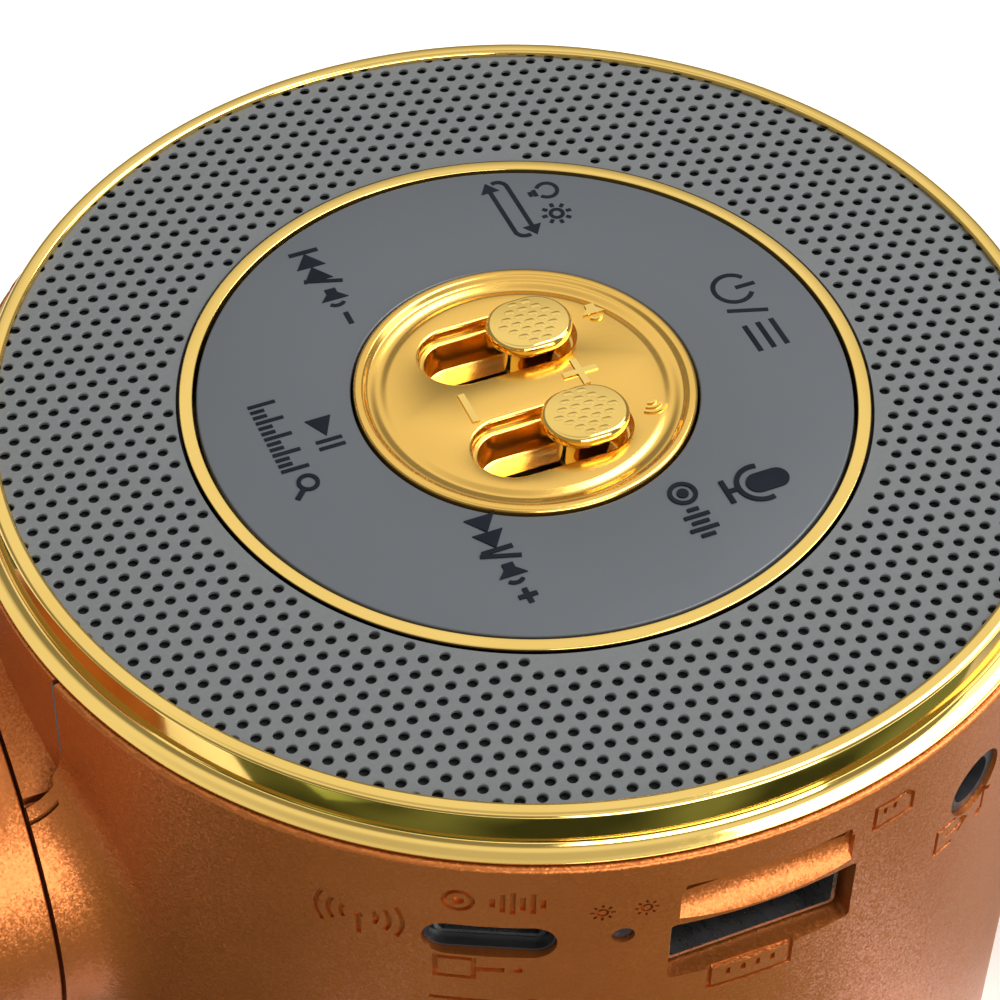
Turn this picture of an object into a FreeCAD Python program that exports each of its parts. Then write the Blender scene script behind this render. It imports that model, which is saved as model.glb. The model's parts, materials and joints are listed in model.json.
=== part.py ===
"""Karaoke microphone: a drum with a speaker and controls on its front, a ball head and a handle.

Millimetres. The microphone lies on the back of its drum. The origin is on the drum's axis, in the plane
of the back face. +X points along the microphone towards its head, and +Z out of the control face.
"""

import FreeCAD, Part
import math
import os

V = FreeCAD.Vector
UP = V(0, 0, 1)
ALONG = V(1, 0, 0)

# Driving dimensions of the drum
DRUM_R = 41.9            # outside of the copper wall
DRUM_DEPTH = 76.0        # from the front rim's bead to the back rim's bead
DRUM_WALL = 2.0
DRUM_EDGE_R = 0.3        # rounding of the wall's edges beside the rims
MID_Z = DRUM_DEPTH / 2
AXIS_Z = 48.0            # height of the microphone's long axis, nearer the control face than the back
FACE_Z = 75.6            # plane of the control ring and the grille
RIM_HEIGHT = 3.3
RIM_GAP = 0.15
SHELF_T = 2.0
FRONT_SHELF_Z = 50.0
BACK_SHELF_Z = 10.0
SHELF_HOLE_R = 27.5
BOSS_AZIMUTHS = (30, 150, 210, 330)
BOSS_RING_R = 34.5
BOSS_R = 2.4
BOSS_TOP_Z = 70.0
SCREW_R = 1.0

# Rings of the control face, from the middle outwards
PLATE_R = 12.7
RING_IN_R = 12.9
RING_OUT_R = 24.2
TRIM_IN_R = 24.45
TRIM_OUT_R = 25.45
GRILLE_IN_R = 25.6
GRILLE_OUT_R = 39.15
GRILLE_T = 0.8

# Slide controls in the centre plate
SLOT_Y = 5.1
SLOT_X0 = -6.2
SLOT_X1 = 6.0
SLOT_W = 5.9
SLIDE_X = 2.7            # rest position of a knob, at the loud end of its slot
SLIDE_TRAVEL = 6.0
KNOB_L = 6.6
KNOB_SHIFT = -0.2        # the cap reaches a little further back over its stem
KNOB_W = 5.5
KNOB_TOP_Z = 77.1
FADER_TOP_Z = 70.6
LEVER_TOP_Z = 74.4

# Circuit board and the ports on the drum's side
BOARD_TOP_Z = 67.4
BOARD_T = 1.2
BOARD_R = 25.5
BOARD_Z = BOARD_TOP_Z - BOARD_T
SWITCH_R = 18.5
SWITCH_COUNT = 6
USB_Z = 62.05
USB_OPENING = (14.1, 6.1)
CARD_Z = 68.6
CARD_OPENING = (12.5, 1.6)
MICRO_AZ = -116.6
MICRO_Z = 64.6
MICRO_OPENING = (9.2, 3.4)
LED_AZ = -104.2
LED_Z = 64.9
LED_R = 0.8
JACK_AZ = -63.6
JACK_Z = 63.8
JACK_BORE_R = 1.8
JACK_HOLE_R = 2.8

# Necks, handle and head, all round the microphone's long axis
NECK_R = 17.2
NECK_END = 43.4          # the seams stand this far from the drum's axis
NECK_FILLET = 5.0
NECK_BORE_R = 12.0
SEAM_GAP = 0.3
HANDLE_END_X = -134.0
HANDLE_END_R = 15.8
HANDLE_MID_R = 16.4
TUBE_WALL = 2.0
CELL_R = 9.2
CELL_L = 65.0
CELL_X = -127.0
HEAD_R = 26.7
BALL_X = 79.0
BAND_W = 4.4
SPIGOT_R = 15.0
COLLAR_X = 52.0
RING_X = 54.6
MESH_T = 0.9
FIT = 0.05


def v2(u, w, plane):
    """A point of a section: (x or r, r or z) in the XZ half plane."""
    return V(u, 0, w) if plane == "drum" else V(u, 0, AXIS_Z + w)


def outline(points, plane):
    """A closed wire. A point is (u, w), or (um, wm, u, w) for an arc through (um, wm)."""
    edges = []
    start = v2(*points[0][-2:], plane)
    here = start
    for item in points[1:] + [points[0][-2:]]:
        end = v2(*item[-2:], plane)
        if len(item) == 4:
            edges.append(Part.Arc(here, v2(item[0], item[1], plane), end).toShape())
        elif here.distanceToPoint(end) > 1e-6:
            edges.append(Part.makeLine(here, end))
        here = end
    return Part.Wire(edges)


def turned(points):
    """A solid turned about the drum's axis from a section of (r, z) points."""
    return Part.Face(outline(points, "drum")).revolve(V(0, 0, 0), UP, 360)


def spun(points):
    """A solid turned about the microphone's long axis from a section of (x, r) points."""
    return Part.Face(outline(points, "handle")).revolve(V(0, 0, AXIS_Z), ALONG, 360)


def disc(r, z0, z1, x=0.0, y=0.0):
    return Part.makeCylinder(r, z1 - z0, V(x, y, z0))


def ring(r_out, r_in, z0, z1):
    return disc(r_out, z0, z1).cut(disc(r_in, z0 - 1, z1 + 1))


def rod(r, x0, x1):
    """A cylinder along the microphone's long axis."""
    return Part.makeCylinder(r, x1 - x0, V(x0, 0, AXIS_Z), ALONG)


def block(x0, x1, y0, y1, z0, z1):
    return Part.makeBox(x1 - x0, y1 - y0, z1 - z0, V(x0, y0, z0))


def stadium(length, width, z0, z1, x=0.0, y=0.0):
    """An upright prism with round ends, long along X."""
    r = width / 2
    half = length / 2 - r
    middle = block(x - half, x + half, y - r, y + r, z0, z1)
    return middle.fuse([disc(r, z0, z1, x - half, y), disc(r, z0, z1, x + half, y)]).removeSplitter()


def slot_outward(width, height, z, y0, y1, corner=0.4):
    """A flat prism along Y, centred on x = 0, that stands for an opening in the drum's side."""
    prism = block(-width / 2, width / 2, y0, y1, z - height / 2, z + height / 2)
    along_y = [e for e in prism.Edges if abs(e.tangentAt(e.FirstParameter).y) > 0.99]
    return prism.makeFillet(corner, along_y)


def around(shape, azimuth):
    """Turns a shape made for the -Y side of the drum to another azimuth."""
    placed = shape.copy()
    placed.rotate(V(0, 0, 0), UP, azimuth + 90)
    return placed


def flipped(shape):
    """The same shape on the other face of the drum."""
    return shape.mirror(V(0, 0, MID_Z), UP)


def polar(r, degrees):
    a = math.radians(degrees)
    return r * math.cos(a), r * math.sin(a)


# ---- drum ----

def necks():
    """The drum's plain outside with the two stubs blended into it, cut off at the seams."""
    edge_z = RIM_HEIGHT + RIM_GAP
    body = disc(DRUM_R, edge_z, DRUM_DEPTH - edge_z)
    body = body.fuse(rod(NECK_R, -NECK_END - 10, NECK_END + 10)).removeSplitter()
    joins = [e for e in body.Edges if is_neck_join(e)]
    body = body.makeFillet(NECK_FILLET, joins)
    body = body.makeFillet(DRUM_EDGE_R, [e for e in body.Edges if is_drum_edge(e, edge_z)])
    return body.common(block(-NECK_END, NECK_END, -60, 60, 0, DRUM_DEPTH))


def is_neck_join(edge):
    """Whether an edge is part of the saddle curve where a stub meets the drum."""
    middle = edge.valueAt((edge.FirstParameter + edge.LastParameter) / 2)
    on_drum = abs(math.hypot(middle.x, middle.y) - DRUM_R) < 0.01
    on_neck = abs(math.hypot(middle.y, middle.z - AXIS_Z) - NECK_R) < 0.01
    return on_drum and on_neck


def is_drum_edge(edge, edge_z):
    """Whether an edge is the round top or bottom edge of the drum's wall."""
    level = any(abs(edge.BoundBox.ZMin - z) < 0.01 for z in (edge_z, DRUM_DEPTH - edge_z))
    return level and edge.BoundBox.ZLength < 0.01


def strip_over_handle():
    """The strip from the rim down the wall and out over the neck: a little sunk, with a groove down each side."""
    half_w, groove_w, sunk, groove_depth = 11.3, 0.3, 0.25, 0.8
    cuts = []
    for y0, y1, depth in ((-half_w, half_w, sunk), (-half_w, groove_w - half_w, groove_depth),
                          (half_w - groove_w, half_w, groove_depth)):
        slab = block(-NECK_END - 1, -30, y0, y1, AXIS_Z, DRUM_DEPTH)
        cuts.append(slab.cut([disc(DRUM_R - depth, 0, DRUM_DEPTH + 1), rod(NECK_R - depth, -NECK_END - 2, 0)]))
    return cuts


def port_openings():
    """Every opening in the drum's side, and the finger scoop under the card slot."""
    y0, y1 = -DRUM_R - 1, -DRUM_R + DRUM_WALL + 2
    card = slot_outward(CARD_OPENING[0], CARD_OPENING[1], CARD_Z, y0, y1, 0.3)
    usb = slot_outward(USB_OPENING[0], USB_OPENING[1], USB_Z, y0, y1)
    micro = slot_outward(MICRO_OPENING[0], MICRO_OPENING[1], MICRO_Z, y0, y1, MICRO_OPENING[1] / 2 - 0.01)
    led = Part.makeCylinder(LED_R, 6, V(0, y0, LED_Z), V(0, 1, 0))
    jack = Part.makeCylinder(JACK_HOLE_R, 6, V(0, y0, JACK_Z), V(0, 1, 0))
    scoop = Part.makeCylinder(3.2, 13.0, V(-6.5, -DRUM_R - 2.0, CARD_Z - 0.8), ALONG)
    scoop = scoop.common(block(-7, 7, -60, -30, CARD_Z - 6, CARD_Z))
    return [card, usb, around(micro, MICRO_AZ), around(led, LED_AZ), around(jack, JACK_AZ), scoop]


def boss(azimuth):
    """A screw post on the front shelf, tied to the wall by a short rib."""
    x, y = polar(BOSS_RING_R, azimuth)
    post = disc(BOSS_R, FRONT_SHELF_Z + SHELF_T, BOSS_TOP_Z, x, y)
    rib = block(-0.8, 0.8, -DRUM_R + DRUM_WALL / 2, -BOSS_RING_R, FRONT_SHELF_Z + SHELF_T, BOSS_TOP_Z - 3)
    hole = disc(SCREW_R, BOSS_TOP_Z - 12, BOSS_TOP_Z + 1, x, y)
    return post.fuse(around(rib, azimuth)).cut(hole)


def drum_housing():
    inner_r = DRUM_R - DRUM_WALL
    hollow = disc(inner_r, 0, DRUM_DEPTH)
    bore = rod(NECK_BORE_R, -NECK_END - 1, NECK_END + 1)
    shell = necks().cut([hollow, bore] + strip_over_handle() + port_openings())
    wall_r = inner_r + DRUM_WALL / 2
    front = ring(wall_r, SHELF_HOLE_R, FRONT_SHELF_Z, FRONT_SHELF_Z + SHELF_T)
    back = ring(wall_r, SHELF_HOLE_R, BACK_SHELF_Z, BACK_SHELF_Z + SHELF_T)
    return shell.fuse([front, back] + [boss(a) for a in BOSS_AZIMUTHS]).removeSplitter()


def front_rim():
    """A bead over the grille's edge, an upright mirror band, a flare out to the wall, and a skirt inside it."""
    low = DRUM_DEPTH - RIM_HEIGHT
    inside_r = DRUM_R - DRUM_WALL - 0.05
    return turned([
        (38.7, FACE_Z - 0.05), (38.7, 75.75), (39.2, DRUM_DEPTH, 39.75, 75.8),
        (40.0, 75.5), (40.25, low + 0.9), (40.6, low + 0.4, 41.45, low + 0.1), (41.45, low),
        (inside_r, low), (inside_r, 70.6), (39.2, 70.6), (39.2, FACE_Z - 0.05),
    ])


def front_grille():
    """The perforated sheet around the controls, as a plain ring without its holes."""
    return ring(GRILLE_OUT_R, GRILLE_IN_R, FACE_Z - 0.1 - GRILLE_T, FACE_Z - 0.1)


def back_grille():
    """The perforated sheet around the plain disc, as a plain ring without its holes."""
    z0 = DRUM_DEPTH - FACE_Z + 0.1
    return ring(GRILLE_OUT_R, PLATE_R + 0.1, z0, z0 + GRILLE_T)


def back_centre_plate():
    """The plain disc in the back grille: its outer face lies in the resting plane."""
    return turned([(0, 0), (PLATE_R - 0.4, 0), (PLATE_R, 0.4), (PLATE_R, 2.2), (PLATE_R - 1.2, 2.2),
                   (PLATE_R - 1.2, 1.4), (0, 1.4)])


def back_frame():
    """The ring under the back grille, with three spokes that carry the plain disc."""
    outer = ring(GRILLE_OUT_R - 0.05, GRILLE_OUT_R - 2.0, 1.3, 5.0)
    hub = ring(PLATE_R - 1.3, PLATE_R - 3.0, 1.4, 5.0)
    spokes = [around(block(-1.5, 1.5, -GRILLE_OUT_R + 1, -PLATE_R + 2, 2.6, 5.0), a) for a in (0, 120, 240)]
    return outer.fuse([hub] + spokes).removeSplitter()


def front_frame():
    """The ring under the front grille, with spokes to the sleeve that locates the trim ring."""
    outer = ring(GRILLE_OUT_R - 0.05, GRILLE_OUT_R - 2.2, BOSS_TOP_Z, FACE_Z - 0.95)
    sleeve = ring(TRIM_OUT_R + 1.2, TRIM_OUT_R + 0.02, BOARD_TOP_Z, FACE_Z - 0.95)
    spokes = [around(block(-2.0, 2.0, -GRILLE_OUT_R + 1, -TRIM_OUT_R - 0.6, BOSS_TOP_Z, 72.0), a)
              for a in BOSS_AZIMUTHS]
    lugs = [disc(3.0, BOSS_TOP_Z, 72.0, *polar(BOSS_RING_R, a)) for a in BOSS_AZIMUTHS]
    holes = [disc(SCREW_R + 0.1, BOSS_TOP_Z - 1, 73.0, *polar(BOSS_RING_R, a)) for a in BOSS_AZIMUTHS]
    return outer.fuse([sleeve] + spokes + lugs).removeSplitter().cut(holes)


def front_screws():
    """Four round-head screws through the frame's lugs into the posts."""
    screws = []
    for azimuth in BOSS_AZIMUTHS:
        x, y = polar(BOSS_RING_R, azimuth)
        head = disc(1.9, 72.0, 73.2, x, y)
        cross = block(x - 0.25, x + 0.25, y - 1.1, y + 1.1, 72.7, 74.0)
        cross = cross.fuse(block(x - 1.1, x + 1.1, y - 0.25, y + 0.25, 72.7, 74.0))
        screws.append(head.cut(cross).fuse(disc(SCREW_R - 0.02, 62.0, 72.0, x, y)))
    return Part.makeCompound(screws)


# ---- control face ----

def inner_trim_ring():
    return turned([(TRIM_IN_R, FACE_Z - 0.2), (TRIM_IN_R + 0.2, FACE_Z + 0.1), (TRIM_OUT_R - 0.2, FACE_Z + 0.1),
                   (TRIM_OUT_R, FACE_Z - 0.1), (TRIM_OUT_R, BOARD_TOP_Z + 1.6),
                   (TRIM_IN_R, BOARD_TOP_Z + 1.6)])


def control_ring():
    """One pressable ring with a post under each of its six key places."""
    top = turned([(RING_IN_R, FACE_Z - 0.3), (RING_IN_R + 0.3, FACE_Z), (RING_OUT_R - 0.4, FACE_Z),
                  (RING_OUT_R, FACE_Z - 0.4), (RING_OUT_R, FACE_Z - 3.0), (RING_OUT_R - 1.0, FACE_Z - 3.0),
                  (RING_OUT_R - 1.0, FACE_Z - 1.6), (RING_IN_R, FACE_Z - 1.6)])
    posts = [disc(1.2, 69.3, FACE_Z - 1.0, *polar(SWITCH_R, 60 * k)) for k in range(SWITCH_COUNT)]
    return top.fuse(posts).removeSplitter()


def tact_switches():
    """Six square switches with round plungers on top of the board."""
    switches = []
    for k in range(SWITCH_COUNT):
        x, y = polar(SWITCH_R, 60 * k)
        body = block(x - 2.2, x + 2.2, y - 2.2, y + 2.2, BOARD_TOP_Z, BOARD_TOP_Z + 1.0)
        switches.append(body.fuse(disc(1.1, BOARD_TOP_Z + 1.0, 68.85, x, y)))
    return Part.makeCompound(switches)


def slot_well(y, z0, z1, shrink):
    middle = (SLOT_X0 + SLOT_X1) / 2
    return stadium(SLOT_X1 - SLOT_X0 - shrink, SLOT_W - shrink, z0, z1, middle, y)


def centre_plate():
    """Gold disc: a raised lip, an annular groove, and two stepped wells with a slit for each lever."""
    field_z, floor_z = 75.5, 71.1
    body = turned([
        (0, floor_z), (0, field_z), (10.4, field_z), (11.0, field_z - 0.45, 11.6, field_z),
        (12.1, 75.9, 12.5, 75.7), (PLATE_R, 75.4), (PLATE_R, BOARD_TOP_Z + 0.1), (PLATE_R - 1.0, BOARD_TOP_Z + 0.1),
        (PLATE_R - 1.0, floor_z),
    ])
    marks = [
        block(3.1, 5.8, -0.25, 0.25, field_z - 0.1, field_z + 0.2),
        block(4.2, 4.7, -1.45, 1.25, field_z - 0.1, field_z + 0.2),
        block(-4.95, -4.45, -1.85, 1.15, field_z - 0.1, field_z + 0.2),
    ]
    body = body.fuse(marks).removeSplitter()
    cuts = []
    for y in (SLOT_Y, -SLOT_Y):
        cuts.append(slot_well(y, field_z - 0.9, 76.5, 0.0))
        cuts.append(slot_well(y, 71.9, field_z, 0.9))
        cuts.append(stadium(9.6, 1.6, 70.0, 73.0, SLIDE_X - SLIDE_TRAVEL / 2, y))
    return body.cut(cuts)


def fader(y):
    """Slide control: a closed case with a slit for its lever and a channel for the wiper."""
    x = SLIDE_X - SLIDE_TRAVEL / 2
    case = block(x - 7.0, x + 7.0, y - 2.5, y + 2.5, BOARD_TOP_Z, FADER_TOP_Z)
    channel = block(x - 5.6, x + 5.6, y - 1.5, y + 1.5, BOARD_TOP_Z + 0.5, FADER_TOP_Z - 0.5)
    slit = stadium(9.4, 1.5, FADER_TOP_Z - 1.0, FADER_TOP_Z + 0.1, x, y)
    return case.cut([channel, slit])


def lever(y):
    """The moving wiper block and the flat lever that comes up into the knob."""
    wiper = block(SLIDE_X - 1.8, SLIDE_X + 1.8, y - 1.3, y + 1.3, BOARD_TOP_Z + 0.7, FADER_TOP_Z - 0.8)
    blade = block(SLIDE_X - 1.2, SLIDE_X + 1.2, y - 0.5, y + 0.5, FADER_TOP_Z - 0.9, LEVER_TOP_Z)
    return wiper.fuse(blade).removeSplitter()


def knob(y):
    """A thumb cap on a waisted stem, with a socket for the lever."""
    under_z, foot_z = 75.85, 72.2
    cap = stadium(KNOB_L, KNOB_W, under_z, KNOB_TOP_Z, SLIDE_X + KNOB_SHIFT, y)
    rims = [e for e in cap.Edges if abs(e.BoundBox.ZMax - e.BoundBox.ZMin) < 0.01]
    cap = cap.makeChamfer(0.35, rims)
    stem = stadium(KNOB_L - 2.3, KNOB_W - 1.9, foot_z, under_z + 0.2, SLIDE_X, y)
    socket = block(SLIDE_X - 1.25, SLIDE_X + 1.25, y - 0.55, y + 0.55, foot_z - 1, LEVER_TOP_Z + 0.1)
    return cap.fuse(stem).removeSplitter().cut(socket)


# ---- board and sockets ----

def control_board():
    disc_part = disc(BOARD_R, BOARD_Z, BOARD_TOP_Z)
    apron = disc(DRUM_R - DRUM_WALL - 0.7, BOARD_Z, BOARD_TOP_Z).common(block(-26, 26, -60, -8, 0, 80))
    return disc_part.fuse(apron).removeSplitter()


def board_chips():
    """Processor, amplifier and radio chips under the board."""
    sizes = ((-9.0, 6.0, 4.0), (6.0, 8.0, 3.0), (9.0, -8.0, 2.5), (-8.0, -9.0, 2.5))
    return Part.makeCompound([block(x - h, x + h, y - h, y + h, BOARD_Z - 1.2, BOARD_Z) for x, y, h in sizes])


def usb_socket():
    y0, y1 = -40.0, -26.0
    shell = slot_outward(13.1, 5.7, USB_Z, y0, y1, 0.5)
    return shell.cut(slot_outward(12.5, 5.1, USB_Z, y0 - 1, y1 - 0.4, 0.3))


def usb_tongue():
    blade = block(-5.55, 5.55, -37.4, -28.6, USB_Z + 0.25, USB_Z + 2.05)
    heel = block(-6.1, 6.1, -28.6, -26.5, USB_Z - 2.4, USB_Z + 2.4)
    return blade.fuse(heel).removeSplitter()


def micro_usb_socket():
    shell = slot_outward(7.7, 2.8, MICRO_Z, -40.2, -34.4, 0.7)
    return around(shell.cut(slot_outward(7.1, 2.2, MICRO_Z, -41, -34.8, 0.5)), MICRO_AZ)


def micro_usb_tongue():
    blade = block(-1.9, 1.9, -39.2, -36.0, MICRO_Z, MICRO_Z + 0.6)
    heel = block(-3.2, 3.2, -36.0, -34.9, MICRO_Z - 0.9, MICRO_Z + 0.9)
    return around(blade.fuse(heel).removeSplitter(), MICRO_AZ)


def card_socket():
    case = block(-6.9, 6.9, -39.2, -26.8, BOARD_TOP_Z, BOARD_TOP_Z + 2.1)
    return case.cut(block(-5.6, 5.6, -40.2, -27.4, CARD_Z - 0.5, CARD_Z + 0.5))


def audio_jack():
    """Block with a round nose in the wall's hole, bored for a 3.5 mm plug."""
    y0, y1 = -40.6, -26.5
    body = block(-3.2, 3.2, -38.2, y1, JACK_Z - 2.6, BOARD_Z)
    nose = Part.makeCylinder(2.35, 4.0, V(0, y0, JACK_Z), V(0, 1, 0))
    bore = Part.makeCylinder(JACK_BORE_R, 13.0, V(0, y0, JACK_Z), V(0, 1, 0))
    return around(body.fuse(nose).removeSplitter().cut(bore), JACK_AZ)


def led_lens():
    lens = Part.makeCylinder(LED_R - 0.05, 5.0, V(0, -41.5, LED_Z), V(0, 1, 0))
    head = Part.makeCylinder(1.2, 3.0, V(0, -36.5, LED_Z), V(0, 1, 0))
    return around(lens.fuse(head).removeSplitter(), LED_AZ)


# ---- speakers ----

def speaker(flange_z, depth, magnet_r, magnet_h):
    """Basket, cone and magnet of a speaker that fires towards +Z from flange_z."""
    top = flange_z + 1.5
    low = flange_z - depth
    basket = turned([(SHELF_HOLE_R - 2.5, top), (31.5, top), (31.5, flange_z), (SHELF_HOLE_R - 0.3, flange_z),
                     (magnet_r - 1.0, low), (3.0, low), (3.0, low + 1.2), (magnet_r - 2.0, low + 1.2),
                     (SHELF_HOLE_R - 2.5, flange_z + 0.6)])
    cone_r = SHELF_HOLE_R - 2.6
    cap_r, cap_top, cap_h = 6.0, low + 4.6, 1.4
    cap_ball_r = (cap_r ** 2 + cap_h ** 2) / (2 * cap_h)
    cap_mid_z = cap_top - cap_ball_r + math.sqrt(cap_ball_r ** 2 - cap_r ** 2 / 4)
    cone = turned([(0, low + 2.6), (5.0, low + 2.2), (cone_r - 2.1, top - 0.9), (cone_r - 1.7, top - 0.3),
                   (cone_r, top - 0.3), (cone_r, top), (cone_r - 1.0, top + 0.9, cone_r - 2.0, top),
                   (cone_r - 2.3, top - 0.2), (cap_r, cap_top - cap_h), (cap_r / 2, cap_mid_z, 0, cap_top)])
    magnet = turned([(0, low - magnet_h), (magnet_r, low - magnet_h), (magnet_r, low), (3.6, low), (3.6, low - 2.0),
                     (0, low - 2.0)])
    return basket, cone, magnet


# ---- handle ----

def handle_radius_points():
    """Outside of the handle from its seam to its foot: (x, r), thinning towards the foot."""
    return [(-NECK_END - SEAM_GAP, NECK_R), (-88.0, HANDLE_MID_R, HANDLE_END_X, HANDLE_END_R)]


def handle_tube():
    seam_x = -NECK_END - SEAM_GAP
    return spun(handle_radius_points() + [
        (HANDLE_END_X, HANDLE_END_R - TUBE_WALL),
        (-88.0, HANDLE_MID_R - TUBE_WALL, seam_x, NECK_R - TUBE_WALL),
    ])


def seam_sleeve():
    """The plug-in sleeve that joins the handle and the drum's neck behind the seam."""
    lip_x = -NECK_END - SEAM_GAP / 2
    inner_x = -NECK_END + 2.3
    return spun([(-NECK_END - 12.0, 14.8), (-NECK_END - 12.0, 13.2), (inner_x, 10.3), (inner_x, 11.95),
                 (lip_x, 11.95), (lip_x, 15.0), (-NECK_END - 3.0, 15.0)])


def handle_trim_ring():
    x1 = HANDLE_END_X - 0.05
    return spun([(x1, HANDLE_END_R - 2.2), (x1, HANDLE_END_R + 0.2), (x1 - 1.3, HANDLE_END_R + 0.5, x1 - 2.6,
                 HANDLE_END_R + 0.2), (x1 - 2.6, HANDLE_END_R - 2.2)])


def handle_end_cap():
    """Domed foot with a plug that goes up inside the tube."""
    x1 = HANDLE_END_X - 2.7
    return spun([(x1 - 4.6, 0), (x1 - 4.4, 11.0), (x1 - 3.0, 14.4, x1, HANDLE_END_R - 0.2),
                 (x1, HANDLE_END_R - 2.4), (HANDLE_END_X + 6.0, HANDLE_END_R - 2.4),
                 (HANDLE_END_X + 6.0, HANDLE_END_R - 4.2), (x1, HANDLE_END_R - 4.2), (x1, 0)])


def battery_cell():
    """A cylindrical cell with its raised positive button towards the drum."""
    body = rod(CELL_R, CELL_X, CELL_X + CELL_L - 1.2)
    button = rod(2.8, CELL_X + CELL_L - 1.2, CELL_X + CELL_L)
    return body.fuse(button).removeSplitter()


def battery_cradle():
    """Two half-round saddles and a spine that hold the cell in the tube."""
    saddles = [rod(13.6, x, x + 6.0).cut(rod(CELL_R + 0.1, x - 1, x + 7)) for x in (CELL_X + 4, CELL_X + CELL_L - 12)]
    spine = block(CELL_X + 4, CELL_X + CELL_L - 6, -2.0, 2.0, AXIS_Z - 12.8, AXIS_Z - CELL_R - 0.1)
    lower = block(CELL_X, CELL_X + CELL_L, -20, 20, 0, AXIS_Z)
    return saddles[0].fuse([saddles[1], spine]).removeSplitter().common(lower)


def battery_contacts():
    """A plate at the cell's button and a spring plate at its flat end."""
    front_x = CELL_X + CELL_L + 0.1
    return Part.makeCompound([rod(6.0, front_x, front_x + 0.5), rod(6.0, CELL_X - 1.0, CELL_X - 0.1)])


# ---- head ----

def head_collar():
    """Copper cone from the seam to the gold ring, with the spigot that the head turns on."""
    seam_x = NECK_END + SEAM_GAP
    return spun([(seam_x, NECK_R), (47.6, 17.0, COLLAR_X, 17.6), (COLLAR_X, SPIGOT_R), (61.0, SPIGOT_R),
                 (61.0, SPIGOT_R - 2.0), (47.0, SPIGOT_R - 2.0), (seam_x, NECK_R - TUBE_WALL)])


def collar_trim_ring():
    return spun([(COLLAR_X + 0.05, SPIGOT_R + FIT), (COLLAR_X + 0.05, 18.0), (53.3, 18.5, RING_X, 18.0),
                 (RING_X, SPIGOT_R + FIT)])


def head_thread_ring():
    """The ring at the head's foot that turns on the spigot."""
    x0 = RING_X + 0.25
    return spun([(x0, SPIGOT_R + FIT), (x0, 17.4), (57.5, 17.8), (60.6, 18.6), (60.6, SPIGOT_R + FIT)])


def ball_arc_point(x):
    return math.sqrt(HEAD_R ** 2 - (x - BALL_X) ** 2)


def lower_mesh():
    """Bowl of the ball head between the thread ring and the band."""
    x0, x1 = 60.7, BALL_X - BAND_W / 2
    mid = (x0 + x1) / 2
    return spun([(x0, ball_arc_point(x0)), (mid, ball_arc_point(mid), x1, ball_arc_point(x1)),
                 (x1, ball_arc_point(x1) - MESH_T),
                 (mid, ball_arc_point(mid) - MESH_T, x0, ball_arc_point(x0) - MESH_T)])


def upper_mesh():
    """Dome of the ball head above the band."""
    x0, top = BALL_X + BAND_W / 2, BALL_X + HEAD_R
    a = math.radians(40)
    mid_out = (BALL_X + HEAD_R * math.sin(a), HEAD_R * math.cos(a))
    inner = HEAD_R - MESH_T
    mid_in = (BALL_X + inner * math.sin(a), inner * math.cos(a))
    return spun([(x0, ball_arc_point(x0)), (*mid_out, top, 0), (top - MESH_T, 0),
                 (*mid_in, x0, ball_arc_point(x0) - MESH_T)])


def head_band():
    half = BAND_W / 2
    return spun([(BALL_X - half + 0.05, HEAD_R - 2.2), (BALL_X - half + 0.05, 26.6), (BALL_X - 1.4, 27.4),
                 (BALL_X + 1.4, 27.4), (BALL_X + half - 0.05, 26.6), (BALL_X + half - 0.05, HEAD_R - 2.2)])


def head_foam():
    """The foam windscreen lining the ball."""
    r = HEAD_R - 2.5
    mid = 45
    a = math.radians(mid)
    return spun([(64.0, 17.5), (70.0, 21.8, BALL_X, r), (BALL_X + r * math.sin(a), r * math.cos(a), BALL_X + r, 0),
                 (BALL_X + r - 4.0, 0), (BALL_X + 14.2, 14.2, BALL_X, 16.0), (64.0, 14.0)])


def capsule_holder():
    """Rubber cup on the spigot that carries the capsule."""
    return spun([(58.0, SPIGOT_R - 2.05), (58.0, 9.0), (70.0, 9.0), (70.0, 10.3), (60.0, 11.2),
                 (60.0, SPIGOT_R - 2.05)])


def mic_capsule():
    return spun([(62.0, 0), (62.0, 8.9), (76.5, 8.9), (77.5, 8.0), (77.5, 0)])


def neck_plate():
    """The disc that closes the drum's neck below the head."""
    return spun([(44.0, 0), (44.0, 13.7), (45.5, 13.7), (45.5, 0)])


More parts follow.
